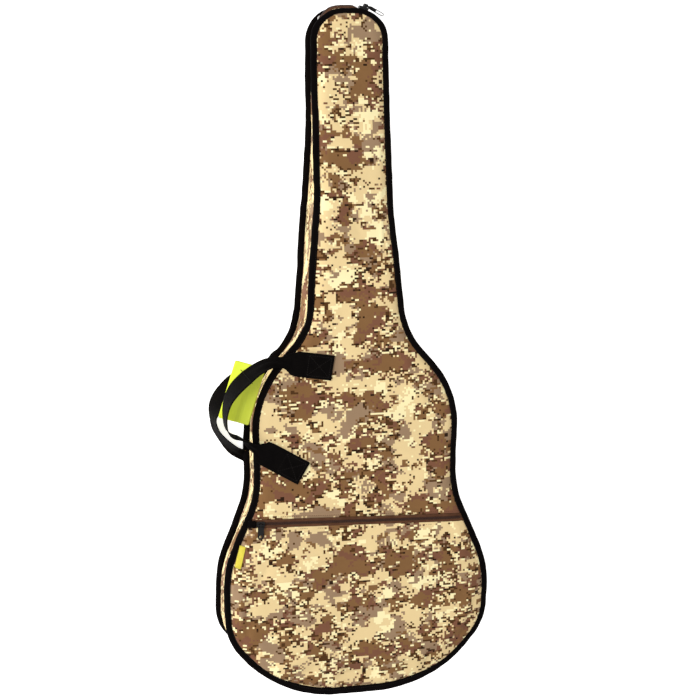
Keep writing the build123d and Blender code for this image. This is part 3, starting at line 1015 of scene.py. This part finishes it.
def doubled(grid):
    """The grid with a new row and column between each two."""
    n, m = grid.shape[:2]
    rows = np.empty((2 * n - 1, m) + grid.shape[2:])
    rows[::2], rows[1::2] = grid, (grid[:-1] + grid[1:]) / 2
    full = np.empty((2 * n - 1, 2 * m - 1) + grid.shape[2:])
    full[:, ::2], full[:, 1::2] = rows, (rows[:, :-1] + rows[:, 1:]) / 2
    return full


def crown(distance, run):
    """How a padded edge rises from its seam, 0 to 1."""
    return np.sqrt(1 - (1 - part_of(distance, run)) ** 2)


def pad_piece(name, top, bottom, material, body, stands_for, uv_shift=(0, 0)):
    """A pad whose cloth coordinates are its plan."""
    points, faces = closed_pad(top, bottom)
    flat = points[:, :2] + np.array(uv_shift)
    uv = flat[faces.ravel()]
    return piece(name, points, faces, material, uv, body, stands_for)


def segment_distance(xy, a, b):
    """Distance of plan points to a segment."""
    a, b = np.array(a, float), np.array(b, float)
    d = b - a
    t = np.clip(((xy - a) @ d) / (d @ d), 0, 1)
    return np.linalg.norm(xy - a - t[..., None] * d, axis=-1)


def off_strip(xy, a, b):
    """How far plan points lie outside the webbing that is sewn down from a to b."""
    a, b = np.array(a, float), np.array(b, float)
    d = unit(b - a)
    n = np.array([-d[1], d[0]])
    rel = xy - (a + b) / 2
    out_u = np.maximum(np.abs(rel @ d) - np.linalg.norm(b - a) / 2, 0)
    out_v = np.maximum(np.abs(rel @ n) - RIBBON_HALF, 0)
    return np.maximum(np.hypot(out_u, out_v) - 1.0, 0)


# Each strip is the first and last point of a sewn webbing end.
FRONT_STRIPS = [((-39.0, -4.5), (-121.0, 8.7)), ((-84.5, -163.5), (-163.0, -116.3))]
BACK_STRIPS = [((-60.0, 2.0), (-150.0, -13.2)), ((-100.0, -195.0), (-171.0, -147.3))]
# Each row is the line of a fold, its width and its rise.
CREASES = [
    ([(45.5, 455.0), (46.0, 330.0), (45.0, 240.0), (43.0, 160.0)], 2.2, -1.5),
    ([(41.0, 455.0), (41.5, 330.0), (40.5, 240.0), (38.0, 160.0)], 3.2, 0.7),
    ([(188.0, -372.0), (172.0, -425.0), (150.0, -462.0)], 5.0, -2.6),
    ([(176.0, -368.0), (160.0, -418.0), (138.0, -452.0)], 7.0, 1.4),
    ([(84.0, 30.0), (96.0, -28.0), (128.0, -84.0)], 7.0, -1.4),
    ([(70.0, 60.0), (78.0, -10.0), (104.0, -70.0)], 9.0, 1.2),
    ([(-60.0, 70.0), (-66.0, 20.0), (-52.0, -60.0)], 9.0, -1.0),
    ([(-140.0, -300.0), (-168.0, -362.0), (-176.0, -420.0)], 7.0, -1.6),
    ([(120.0, -180.0), (96.0, -215.0)], 8.0, -1.2),
    ([(-20.0, 250.0), (10.0, 180.0), (4.0, 110.0)], 10.0, -0.9),
    ([(-90.0, -470.0), (-20.0, -492.0), (60.0, -484.0)], 9.0, -1.4),
]


def creased(xy, room):
    """The folds and slow dips of cloth that has been packed flat."""
    made = np.zeros(xy.shape[:2])
    for line, width, depth in CREASES:
        far = np.min([segment_distance(xy, a, b) for a, b in zip(line, line[1:])], axis=0)
        ends = np.minimum(np.linalg.norm(xy - line[0], axis=-1), np.linalg.norm(xy - line[-1], axis=-1))
        made += depth * np.exp(-(far / width) ** 2) * part_of(ends, 25.0) ** 0.5
    made += 1.1 * fuzz(xy, 85.0, 41) + 0.55 * fuzz(xy, 38.0, 42) + 0.25 * fuzz(xy, 17.0, 43)
    return made * room


def puckers(which, distance, seed):
    """Small gathers along a sewn edge."""
    gathers = 0.9 * fuzz_line(which * 1.0, 10.0, seed)
    return gathers * np.exp(-(distance / 13.0)) * part_of(distance, 3.0)


def zip_panel(side, place, step, seam_rise, seam_run, zip_rise, heights, blown_floor, floor_rise, skin,
              pressure, extra, give, zip_run, folds, groove, seed, held_to):
    """The sides and the two faces of the panel above (1) or below (-1) the pocket zipper.  It is domed
    between its seam and the zipper, blown up, creased, and then held where held_to says."""
    rails = side_rails(PANEL_INSET, lambda p: side * zip_across(p) > ZIP_ROOM, place)
    rails = rail_rows([r[::-side] for r in rails], step, RIM_STEPS)
    plan = cross_rows(*rails, PANEL_COLUMNS)
    border = ring_of(place, PANEL_INSET)

    def domed(xy, height):
        far, which = distance_to(xy, border)
        off_zip = np.maximum(side * zip_across(xy) - ZIP_ROOM, 0)
        from_seam = seam_rise + (height - seam_rise) * crown(far, seam_run)
        from_zip = zip_rise + (height - zip_rise) * crown(off_zip, 3.0)
        return far, which, off_zip, np.minimum(from_seam, from_zip)

    z = domed(plan, heights[0])[-1]
    under = np.minimum(blown_floor, z - skin)
    rise = swell(raised(plan, z), raised(plan, under), pressure, extra, cap=6.0)
    full = doubled(plan)
    far, which, off_zip, z = domed(full, heights[1])
    up = smooth(doubled(rise), 2)
    z = z + np.clip(up[..., 2], *give)
    room = part_of(far, FOLD_MARGIN) * part_of(off_zip, zip_run)
    z = z + folds * creased(full, room) + puckers(which, far, seed) * part_of(off_zip, 20.0)
    z = z - groove * np.exp(-((off_zip - HEM_AT) / HEM_HALF) ** 2) * part_of(far, 10.0)
    z = held_to(full, far, off_zip, z)
    top = raised(full + up[..., :2] * room[..., None] * 0.5, z)
    low = raised(full, np.minimum(floor_rise, z - skin))
    for grid in (top, low):
        grid[..., 2] += seam(grid[..., 1])
    return rails, top, low


def hem_stitches(name, first, last, count, across, height_of):
    """The row of thread beside the pocket zipper."""
    xy = zip_point(np.linspace(first, last, count), np.full(count, across))
    stitches(name, raised(xy, height_of(xy)), UP, THREAD_BROWN, "front_lid")


def make_front_upper():
    """The camouflage cloth above the pocket, pressed flat under the sewn webbing ends."""
    def held_to(xy, far, off_zip, z):
        limit = np.minimum(9.6, 6.6 + 0.12 * off_zip)
        for a, b in FRONT_STRIPS:
            limit = np.minimum(limit, 5.75 + 0.28 * off_strip(xy, a, b))
        return np.minimum(z, limit)

    _, top, low = zip_panel(
        side=1, place=front_rim, step=7.0, seam_rise=-1.2, seam_run=17.0, zip_rise=3.6, heights=(5.2, 5.6),
        blown_floor=2.4, floor_rise=2.4, skin=0.6, pressure=4.0, extra=0.012, give=(-1.0, 4.0), zip_run=14.0,
        folds=1.0, groove=0.8, seed=44, held_to=held_to)
    made = pad_piece("front_upper_cover", top, low, CAMO, "front_lid",
                     ("front_panel_fabric",), (300, 700))
    surface = surface_of(top)
    hem_stitches("upper_hem_stitching", -152.0, 158.0, 90, 9.6, lambda xy: surface(xy) + 0.15)


def pocket_rim(s, inset):
    """The front rim, with room for the wider fold of tape along the bottom."""
    return front_rim(s, inset + 3.4 * heel(s))


def sewn_area(left, right):
    """The width, the drop and the area of a flat panel between its two sides, in metres."""
    cut = np.vstack([left, right[::-1]]) * MM
    x, y = cut[:, 0], cut[:, 1]
    area = abs(float(np.sum(x * np.roll(y, -1) - y * np.roll(x, -1)))) / 2
    return (np.ptp(x), np.ptp(y)), area


def make_pocket():
    """The pocket's stretched cloth.  Gives back a function for the height of its surface."""
    def held_to(xy, far, off_zip, z):
        slope = 7.7 + 0.05 * off_zip + 0.12 * np.maximum(off_zip - 30.0, 0)
        return np.maximum(np.minimum(z, np.minimum(13.0, slope)), np.where(far > 12.0, 6.3, -20.0))

    rails, top, low = zip_panel(
        side=-1, place=pocket_rim, step=6.0, seam_rise=-0.6, seam_run=15.0, zip_rise=6.3, heights=(7.2, 7.6),
        blown_floor=6.0, floor_rise=6.05, skin=0.5, pressure=3.0, extra=0.015, give=(-0.8, 4.5), zip_run=16.0,
        folds=1.25, groove=0.7, seed=54, held_to=held_to)
    made = pad_piece("pocket_cover", top, low, CAMO, "front_lid", ("pocket_panel",),
                     (900, 400))
    flat, area = sewn_area(*rails)
    hem_stitches("pocket_hem_stitching", -136.0, 158.0, 86, -9.4,
                 lambda xy: np.full(len(xy), SEAM_BODY + 7.35))
    return surface_of(top)


def quilted(xy, depth):
    """Diagonal sewn channels with a puff between them."""
    a = (xy[..., 0] + xy[..., 1]) / math.sqrt(2)
    b = (xy[..., 0] - xy[..., 1]) / math.sqrt(2)
    return quilting(a, b, PANEL_QUILT, depth)


def whole_plan(inset, step, count, place):
    """Plan points over the whole inset outline."""
    rails = side_rails(inset, lambda p: p[:, 1] < FAR, place)
    left, right = rail_rows(rails, step)
    return cross_rows(left, right, count)


def flat_pad(name, low_of, high_of, material, body, stands_for, step=6.0, count=PANEL_COLUMNS):
    """A pad over a whole panel; low_of and high_of give its faces at plan points a way from the rim."""
    place = front_rim if body == "front_lid" else back_rim
    plan = whole_plan(LINING_INSET, step, count, place)
    far, _ = distance_to(plan, ring_of(place, LINING_INSET))
    top = raised(plan, high_of(plan, far))
    low = raised(plan, low_of(plan, far))
    return pad_piece(name, top, low, material, body, stands_for)


def make_front_pad():
    """The front panel's padding, one step higher under the pocket."""
    def low_of(xy, far):
        return seam(xy[..., 1]) - 2.8

    def high_of(xy, far):
        step = np.where(zip_across(xy) < 3.0, 3.6, 0) * crown(np.maximum(far - 4, 0), 14.0)
        return seam(xy[..., 1]) - 2.4 + 4.3 * crown(far, 10.0) + step

    made = flat_pad("front_panel_pad", low_of, high_of, CAMO, "front_lid",
                    ("front_panel_foam",))


def make_liners():
    """The quilted linings of the two big panels."""
    def front_low(xy, far):
        return seam(xy[..., 1]) - 3.8 - quilted(xy, 1.6) * crown(far, 14.0)

    def front_high(xy, far):
        return seam(xy[..., 1]) - 2.9

    def back_low(xy, far):
        return 8.8 + 0 * far

    def back_high(xy, far):
        return 9.2 + quilted(xy, 1.8) * crown(far, 14.0)

    for side, body, low_of, high_of in [("front", "front_lid", front_low, front_high),
                                        ("back", "back_shell", back_low, back_high)]:
        flat_pad(side + "_liner", low_of, high_of, LINING, body,
                 (side + "_panel_lining",), step=5.0, count=91)


def make_back_cover():
    """The back panel's padded cloth, which hangs below its rim and lies flat on the floor."""
    plan = whole_plan(PANEL_INSET, 6.0, PANEL_COLUMNS, back_rim)
    border = ring_of(back_rim, PANEL_INSET)
    far, _ = distance_to(plan, border)
    face = 4.0 + 1.8 * crown(far, 20.0)
    rise = swell(raised(plan, face), raised(plan, 0.4 + 0 * face), pressure=3.0, extra=0.01, cap=4.0)
    full = doubled(plan)
    far, which = distance_to(full, border)
    drop = 4.9 * crown(far, 22.0)
    up = smooth(doubled(rise), 2)
    z = 5.4 - drop - 0.35 * np.clip(up[..., 2], -1, 3)
    z = z + 0.45 * creased(full[..., ::-1], part_of(far, 25.0)) + puckers(which, far, 64)
    z = np.maximum(z, 0.15)
    for a, b in BACK_STRIPS:
        z = np.maximum(z, 1.7 - 0.09 * off_strip(full, a, b))
    inner = np.maximum(8.7, z + 0.5)
    inner[[0, -1], :] = z[[0, -1], :]
    inner[:, [0, -1]] = z[:, [0, -1]]
    low, top = raised(full, z), raised(full, inner)
    points, faces = closed_pad(top, low)
    uv = points[:, :2][faces.ravel()] * np.array([-1, 1])
    made = piece("back_panel_cover", points, faces, CAMO, uv, "back_shell",
                 ("back_panel_fabric", "back_panel_foam"))


make_front_upper()
make_front_pad()
pocket_height = make_pocket()
make_liners()
make_back_cover()


# ---------------------------------------------------------------- pocket zipper
POCKET_ZIP_Z = SEAM_BODY + PANEL_RISE
POCKET_PITCH = 1.6
ZIP_HALF, ZIP_DIP, ZIP_DIP_RUN = 160.0, 2.5, 14.0
pocket_border = ring_of(front_rim, 9.8)


def end_at(v, sign):
    """Where the border cuts a line v above the pocket zipper, on the left (-1) or the right (1)."""
    beside = (pocket_border[:, 1] < -200) & (pocket_border[:, 1] > -280)
    side = pocket_border[(np.sign(pocket_border[:, 0]) == sign) & beside]
    nearest = side[np.argmin(np.abs(zip_across(side) - v))]
    return float((nearest - ZIP_MIDDLE) @ ZIP_ALONG)


def zip_dip(u):
    """How far the pocket zipper drops towards its two ends."""
    return ZIP_DIP * (1 - part_of(ZIP_HALF - np.abs(u), ZIP_DIP_RUN))


def make_pocket_tape(word, sign):
    """One woven side of the pocket zipper."""
    across = np.array([0.3, 1.0, 2.4, 3.8, 5.2, 6.4])
    count = 84
    plan = np.empty((count, len(across), 2))
    for k, v in enumerate(across):
        first, last = end_at(sign * v, -1), end_at(sign * v, 1)
        for i in range(count):
            t = i / (count - 1)
            plan[i, k] = zip_point(first * (1 - t) + last * t, sign * v)
    rip = 0.12 * fuzz(plan, 9.0, 71)
    dip = zip_dip(plan[..., 0])
    top = raised(plan, POCKET_ZIP_Z + 0.75 + rip - dip)
    low = raised(plan, POCKET_ZIP_Z + 0.05 - dip)
    section = np.concatenate([top, low[:, ::-1]], axis=1)
    uv = crossed(np.linspace(0, 2 * ZIP_HALF, count), np.arange(2 * len(across)) * 1.1)
    points, faces, uv = tube(section[::-sign], uv, False)
    piece("pocket_zip_" + word + "_tape", points, faces, ZIP_TAPE, uv, "front_lid",
          ("pocket_zipper_" + word + "_tape",))


def make_pocket_teeth(word, sign):
    """The coil's turns along one side of the pocket zipper."""
    first, last = max(end_at(0.0, -1) + 3.5, -157.0), end_at(0.0, 1) - 2.5
    u = np.arange(first + (0.5 * POCKET_PITCH if sign > 0 else 0.0), last, POCKET_PITCH)
    centres = raised(zip_point(u, np.full(len(u), sign * 1.05)), POCKET_ZIP_Z + 0.8 - zip_dip(u))
    run = np.repeat([np.append(ZIP_UP, 0.0)], len(u), 0)
    points, faces = scatter(pill(3.0, 1.25, 1.35), centres, run, UP[None])
    piece("pocket_zip_" + word + "_teeth", points, faces, COIL, body="front_lid",
          stands_for=("pocket_zipper_" + word + "_coil",))


for word, sign in (("upper", 1), ("lower", -1)):
    make_pocket_tape(word, sign)
    make_pocket_teeth(word, sign)


# ---------------------------------------------------------------- webbing and small sewn parts
def spline_points(points, count):
    """A smooth run through the control rows, evenly spaced along its length."""
    points = np.asarray(points, float)
    padded = np.vstack([2 * points[0] - points[1], points, 2 * points[-1] - points[-2]])
    made = []
    for k in range(1, len(padded) - 2):
        p0, p1, p2, p3 = padded[k - 1: k + 3]
        for t in np.linspace(0, 1, 40, endpoint=False):
            made.append(0.5 * (2 * p1 + (p2 - p0) * t + (2 * p0 - 5 * p1 + 4 * p2 - p3) * t ** 2
                               + (3 * p1 - p0 - 3 * p2 + p3) * t ** 3))
    made.append(points[-1])
    made = np.array(made)
    s = lengths(made[:, :3])
    at = np.linspace(0, s[-1], count)
    return np.stack([np.interp(at, s, made[:, k]) for k in range(made.shape[1])], axis=1)


def columns_at(at, s, rows):
    """The rows at distance at, read between their own distances s."""
    return np.array([np.interp(at, s, rows[:, k]) for k in range(3)])


def ribbon(name, controls, stands_for, seed, thick):
    """Webbing that lies flat at tilt 0 and stands on edge at tilt 90.  Controls are x, y, z, tilt and
    the share of its width that is gathered into a fold."""
    run = spline_points(controls, 220)
    path, tilt, gather = run[:, :3], np.radians(run[:, 3]), np.clip(run[:, 4], 0, 0.8)
    ahead_of = unit(np.gradient(path, axis=0))
    inward = unit(np.cross(UP, ahead_of))
    up = np.cross(ahead_of, inward)
    width = np.cos(tilt)[:, None] * inward + np.sin(tilt)[:, None] * up
    face = np.cross(ahead_of, width)
    v = np.array([-1, -0.97, -0.8, -0.6, -0.4, -0.2, 0, 0.2, 0.4, 0.6, 0.8, 0.97, 1.0])
    h = np.array([0.25, 0.5, 0.5, 0.48, 0.46, 0.45, 0.45, 0.45, 0.46, 0.48, 0.5, 0.5, 0.25])
    s = lengths(path)
    cup = 0.6 * fuzz(np.column_stack([s, 0 * s, 0 * s]), 30.0, seed)
    fold = 9.0 * gather[:, None] * (np.cos(2 * np.pi * v[None]) * 0.3 + 0.3)
    bow = cup[:, None] * (1 - v[None] ** 2) + fold
    wide = (1 - gather)[:, None] * (v * RIBBON_HALF)[None]
    middle = path[:, None] + width[:, None] * wide[..., None]
    top = middle + face[:, None] * (h * thick + bow)[..., None]
    low = middle + face[:, None] * (bow - h * thick)[..., None]
    section = np.concatenate([low, top[:, ::-1]], axis=1)
    girth = np.concatenate([v * RIBBON_HALF, 2 * RIBBON_HALF + 1 - v * RIBBON_HALF])
    points, faces, uv = tube(section, crossed(s, girth), False)
    made = piece(name, points, faces, WEBBING, uv, None, stands_for)
    return made, path, width, face


# Each row is x, y, z, tilt and gather.
FRONT_LOOP = [
    (-39, -4.5, 99.0, 0, 0), (-75, 1.3, 99.0, 0, 0), (-94, 4.4, 99.0, 0, 0.02), (-104, 6.8, 98.8, 0, 0.25),
    (-113, 7.8, 98.4, 4, 0.52), (-124, 7.4, 97.6, 20, 0.58), (-135, 5.0, 96.8, 46, 0.46),
    (-146, 0.6, 96.2, 62, 0.26), (-157, -5.4, 96, 69, 0.1), (-170, -14.8, 96, 70, 0), (-185, -29, 96, 72, 0),
    (-196, -46, 96, 80, 0), (-201, -65, 96, 87, 0), (-201, -81, 96, 90, 0), (-197.8, -92.5, 96, 90, 0.05),
    (-190.5, -100, 96, 90, 0.1), (-180, -103.4, 96, 88, 0.15), (-171, -108.6, 96.2, 80, 0.3),
    (-163.5, -114, 96.8, 52, 0.55), (-156, -119.6, 97.8, 14, 0.56), (-149, -124.4, 98.6, 0, 0.28),
    (-141, -129.6, 99.0, 0, 0.02), (-84.5, -163.5, 99.0, 0, 0),
]
# The same without z, which follows from the tilt.
BACK_ROWS = [
    (-60, 2, 0, 0), (-98, -6.5, 0, 0.05), (-114, -13.5, 0, 0.32), (-127, -18.5, 2, 0.52),
    (-139, -21.5, 12, 0.5), (-149, -25, 26, 0.4), (-160, -31, 35, 0.2), (-172, -39.5, 38, 0.04),
    (-184.5, -50, 44, 0), (-195.5, -61, 52, 0), (-204.5, -74, 66, 0), (-209, -89, 82, 0),
    (-205, -107, 79, 0), (-196, -121, 74, 0), (-185.5, -133, 66, 0.05), (-176, -141.5, 54, 0.22),
    (-166.5, -148, 30, 0.42), (-156, -154.5, 4, 0.46), (-145, -163, 0, 0.2), (-133, -172.6, 0, 0),
    (-100, -195, 0, 0),
]
STRAP_SPREAD = 18.8
BACK_LOOP = [(x, y, 0.95 + STRAP_SPREAD * (1 - gather) * math.sin(math.radians(tilt)), tilt, gather)
             for x, y, tilt, gather in BACK_ROWS]


def fold_across(made, chord):
    """Bake a handle's placement into its mesh."""
    first, last = (np.array(p) for p in chord)
    d = unit(last - first)
    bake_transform(made)


BOX_HALF, BOX_FROM, BOX_TO = 15.0, 4.0, 38.0


def box_stitch(name, path, width, face, at, body, lift):
    """A sewn box with a cross in it, on a webbing end."""
    s = lengths(path)
    s0, s1 = at
    half = BOX_HALF

    def spot(u, v):
        n = columns_at(u, s, face)
        return columns_at(u, s, path) + columns_at(u, s, width) * v + n * lift, n

    sides = [((s0, -half), (s1, -half)), ((s1, -half), (s1, half)), ((s1, half), (s0, half)),
             ((s0, half), (s0, -half))]
    cross = [((s0, -half), (s1, half)), ((s0, half), (s1, -half))]
    mids, ways, ups = [], [], []
    for (u0, v0), (u1, v1) in sides + cross:
        count = max(2, int(math.hypot(u1 - u0, v1 - v0) / 3.2))
        for k in range(count):
            t = (k + 0.5) / count
            here, n = spot(u0 + (u1 - u0) * t, v0 + (v1 - v0) * t)
            there, _ = spot(u0 + (u1 - u0) * (t + 0.01), v0 + (v1 - v0) * (t + 0.01))
            mids.append(here)
            ways.append(there - here)
            ups.append(n)
    points, faces = scatter(pill(2.4, 0.75, 0.4), np.array(mids), np.array(ways), np.array(ups))
    piece(name, points, faces, THREAD_BLACK, body=body)


def make_strap(side, controls, seed, thick, chord, body, lift, outside):
    """One webbing handle and the box stitches on its two ends."""
    stands_for = (side + "_handle_webbing", side + "_handle_ends")
    strap, path, width, face = ribbon(side + "_handle_strap", controls, stands_for, seed, thick)
    fold_across(strap, chord)
    total = lengths(path)[-1]
    for word, at in (("upper", (BOX_FROM, BOX_TO)), ("lower", (total - BOX_TO, total - BOX_FROM))):
        box_stitch(side + "_" + word + "_box_stitch", path, width, outside * face, at, body, lift)


make_strap("front", FRONT_LOOP, 81, RIBBON_THICK, ((-114.0, 7.6), (-157.5, -119.6)), "front_lid",
           lift=0.75, outside=1)
make_strap("back", BACK_LOOP, 83, 1.5, ((-143.0, -12.0), (-164.0, -152.0)), "back_shell",
           lift=0.55, outside=-1)

EYELET_HOLE = 3.6


def turned(centre, turn, u, v):
    """The plan place of a point given across and along something that is turned about its centre."""
    c, s = math.cos(turn), math.sin(turn)
    return centre[0] + u * c - v * s, centre[1] + u * s + v * c


def plate_piece(name, centre, turn, size, bottom, thick, rise_of, material, body, stands_for,
                hole=None, corner=3.0):
    """A thin sheet piece with a shape of its own: rise_of(u, v) lifts it."""
    grid = crossed(np.linspace(-0.5, 0.5, 25) * size[0], np.linspace(-0.5, 0.5, 47) * size[1])
    u, v = grid[..., 0], grid[..., 1]
    over_u = np.maximum(np.abs(u) - (size[0] / 2 - corner), 0)
    over_v = np.maximum(np.abs(v) - (size[1] / 2 - corner), 0)
    over = np.hypot(over_u, over_v)
    outside = (over > corner) & (over_u > 0) & (over_v > 0)
    squeeze = np.where(outside, corner / np.maximum(over, 1e-6), 1.0)
    pu = np.sign(u) * (np.abs(u) - over_u + over_u * squeeze)
    pv = np.sign(v) * (np.abs(v) - over_v + over_v * squeeze)
    if hole is not None:
        du, dv = pu - hole[0], pv - hole[1]
        gap = np.hypot(du, dv)
        push = np.where(gap < EYELET_HOLE, EYELET_HOLE / np.maximum(gap, 0.3), 1.0)
        pu, pv = hole[0] + du * push, hole[1] + dv * push
    plan = np.stack(turned(centre, turn, pu, pv), axis=-1)
    z = bottom + rise_of(pu, pv)
    points, faces = closed_pad(raised(plan, z + thick), raised(plan, z))
    local = np.stack([pu, pv], axis=-1)
    flat = np.vstack([local.reshape(-1, 2), local[1:-1, 1:-1].reshape(-1, 2)])
    uv = (flat + np.array(size) / 2)[faces.ravel()]
    return piece(name, points, faces, material, uv, body, stands_for)


TAG_MIDDLE, TAG_TURN, TAG_BOTTOM = (-172.0, -40.7), math.radians(-17.9), 71.5
CARD_SIZE = (48.0, 90.0)


def card_rise(u, v):
    """The card curls at its lower end and has a crease along it."""
    curl = 2.6 * (1 - np.cos(u / 24 * 1.2)) * part_of(12 - v, 40)
    return curl - 1.2 * np.exp(-((u - 6) / 3.0) ** 2) * part_of(12 - v, 30)


plate_piece("tag_card", TAG_MIDDLE, TAG_TURN, CARD_SIZE, TAG_BOTTOM, 0.7, card_rise, CARD,
            "hang_tag", ("hang_tag_card",), hole=(0.0, 25.0))

LABEL_MIDDLE, LABEL_TURN = (-182.6, -287.2), math.radians(-15.5)


def label_rise(u, v):
    """The woven tab comes out of the side seam and follows the pocket."""
    xy = np.stack(turned(LABEL_MIDDLE, LABEL_TURN, u, v), axis=-1)
    return pocket_height(xy) + 0.35 + 0.15 * np.sin(v / 4.0)


plate_piece("side_label_cloth", LABEL_MIDDLE, LABEL_TURN, (8.6, 34.0), 0.0, 0.7, label_rise, LABEL,
            "front_lid", ("side_label",), corner=0.8)


def cord_piece(name, points, radius, material, body, stands_for=()):
    """A thin closed loop of cord."""
    points = np.asarray(points, float)
    ring = np.vstack([points, points[:1]])
    path = spline_points(ring, 120)[:-1]
    ahead_of = unit(np.roll(path, -1, axis=0) - np.roll(path, 1, axis=0))
    side = unit(np.cross(ahead_of, (0.31, 0.22, 0.92)))
    up = np.cross(side, ahead_of)
    a = turns(8)[None, :, None]
    section = path[:, None] + radius * (np.cos(a) * side[:, None] + np.sin(a) * up[:, None])
    uv = np.zeros(section.shape[:2] + (2,))
    made_points, faces, uv = tube(section, uv, True)
    return piece(name, made_points, faces, material, uv, body, stands_for)


TAG_HOLE = np.array([-164.32, -16.91])
KNOT_RADIUS, KNOT_Z = 2.3, 69.2


def make_tag_loop():
    """The loop goes round the strap, through the eyelet and ends in a knot under the card."""
    run = spline_points(FRONT_LOOP, 190)
    k = int(np.argmin(np.linalg.norm(run[:, :2] - TAG_HOLE, axis=1)))
    tangent = run[k + 1, :3] - run[k - 1, :3]
    tangent[2] = 0
    inward = np.cross(UP, unit(tangent))
    lean = math.radians(run[k, 3])
    aside = float((run[k, :2] - TAG_HOLE) @ inward[:2])
    w = np.array([math.cos(lean), math.sin(lean)])
    n = np.array([-w[1], w[0]])
    edge, off = 20.6, 1.9
    flat = [(0.0, -27.0), (-1.9, -24.4), -edge * w + 2.2 * off * n * 0.6 + np.array([-0.5, 0.0]),
            -15 * w + off * n, off * n, 15 * w + off * n, edge * w, 15 * w - off * n, -off * n,
            -14 * w - off * n, (0.8, -21.5), (1.7, -24.4)]
    middle = np.array([*TAG_HOLE, 96.0])
    points = []
    for a, b in flat:
        over_strap = aside if b > -22 else 0.0
        points.append(middle + inward * (a + over_strap) + UP * b)
    cord_piece("tag_loop", points, 0.5, LOOP_PLASTIC, "front_handle",
               ("hang_tag_loop",))
    knot = []
    for t in turns(9):
        x, y = TAG_HOLE + KNOT_RADIUS * np.array([math.cos(t), math.sin(t)])
        knot.append((x, y, KNOT_Z + 0.9 * math.sin(3 * t)))
    cord_piece("tag_loop_knot", knot, 1.0, LOOP_PLASTIC, "front_handle")


make_tag_loop()


def end_tab_rise(u, v):
    """The folded end is round across and thins outwards."""
    return 0.3 * np.cos(v / 5.5 * 1.5) - 0.14 * np.maximum(-u, 0)


plate_piece("pocket_zip_end_tab", zip_point(-164.3, 0.0), ZIP_TILT, (12.5, 11.0), SEAM_BODY + 6.4, 1.7,
            end_tab_rise, BINDING, "front_lid", ("pocket_zipper_end_tab",))

HEAD_MIDDLE, HEAD_RADIUS = (9.0, 472.5), 55.4
PULL_AT, PULL_TURN, PULL_TWIST = math.radians(70), math.radians(-28), math.radians(64)


def make_main_pull():
    """A moulded strap with a plated, slotted end, twisted a little so that it hangs at a slant."""
    pivot = np.array([HEAD_MIDDLE[0] + HEAD_RADIUS * math.cos(PULL_AT),
                      HEAD_MIDDLE[1] + HEAD_RADIUS * math.sin(PULL_AT), SPLIT_HEAD])
    ahead_of = np.array([math.cos(PULL_TURN), math.sin(PULL_TURN), 0.0])
    across = np.cross(UP, ahead_of)

    def frame_at(d):
        turn = PULL_TWIST * part_of(d - 2.0, 7.0)
        wide = math.cos(turn) * UP + math.sin(turn) * across
        return wide, np.cross(ahead_of, wide)

    at = np.array([1.6, 2.4, 4.0, 6.0, 8.0, 10.0, 12.0, 15.0, 16.4, 17.6])
    halves = np.array([1.4, 1.8, 1.9, 2.2, 2.6, 2.7, 2.7, 2.6, 2.8, 2.8])
    thick = np.array([0.7, 0.85, 0.85, 0.85, 0.9, 0.85, 0.85, 0.95, 1.15, 0.9])
    a = turns(16)
    square = lambda t: np.sign(t) * np.abs(t) ** 0.45
    rows = []
    for d, w, h in zip(at, halves, thick):
        wide, flat = frame_at(d)
        sideways = np.outer(square(np.cos(a)) * w, wide) + np.outer(square(np.sin(a)) * h, flat)
        rows.append(pivot + ahead_of * d + sideways)
    points, faces, uv = tube(np.array(rows), crossed(at, np.arange(16.0)), False)
    piece("main_pull_strap", points, faces, PULL_PLASTIC, uv, "main_pull",
          ("main_pull_tab",))
    eye = [pivot + 1.75 * (math.cos(t) * ahead_of + math.sin(t) * across) for t in turns(10)]
    cord_piece("main_pull_eye", eye, 0.62, PULL_PLASTIC, "main_pull")
    wide, _ = frame_at(20.0)
    half_loop = [(17.4, 1.7), (20.0, 2.0), (27.0, 2.0), (30.0, 1.3)]
    slot = [(17.2, 0)] + half_loop + [(30.6, 0)] + [(u, -v) for u, v in half_loop[::-1]]
    loop = [pivot + ahead_of * u + wide * v for u, v in slot]
    cord_piece("main_pull_end", loop, 0.85, STEEL, "main_pull", ("main_pull_tip",))


make_main_pull()


# ---------------------------------------------------------------- metal and moulded nodes
KEPT = {
    "main_slider_body": ENAMEL, "main_slider_bail": ENAMEL, "pocket_slider_body": ENAMEL,
    "pocket_slider_bail": ENAMEL, "pocket_pull": ENAMEL, "zipper_end_stops": STEEL, "hang_tag_eyelet": BRASS,
}
for name, material in KEPT.items():
    node = nodes[name]
    node.data.materials.clear()
    node.data.materials.append(material)
    round_off = node.modifiers.new("rounded_edges", "BEVEL")
    round_off.width = 0.35 * MM
    round_off.segments = 2
    round_off.limit_method = "ANGLE"
    round_off.angle_limit = math.radians(50)

# ---------------------------------------------------------------- floor
FLOOR_HALF, FLOOR_LINES, FLOOR_Z = 4000.0, 9, -0.5
floor_lines = np.linspace(-FLOOR_HALF, FLOOR_HALF, FLOOR_LINES)
floor_plan = crossed(floor_lines, floor_lines)
floor_points = raised(floor_plan, np.full(floor_plan.shape[:2], FLOOR_Z)).reshape(-1, 3) * MM
quads = grid_quads(FLOOR_LINES - 1, FLOOR_LINES - 1)
floor_mesh = bpy.data.meshes.new("studio_floor")
floor_mesh.from_pydata(floor_points.tolist(), [], (quads[..., 0] * FLOOR_LINES + quads[..., 1]).tolist())
floor_mesh.materials.append(floor_material())
floor = link("studio_floor", floor_mesh)
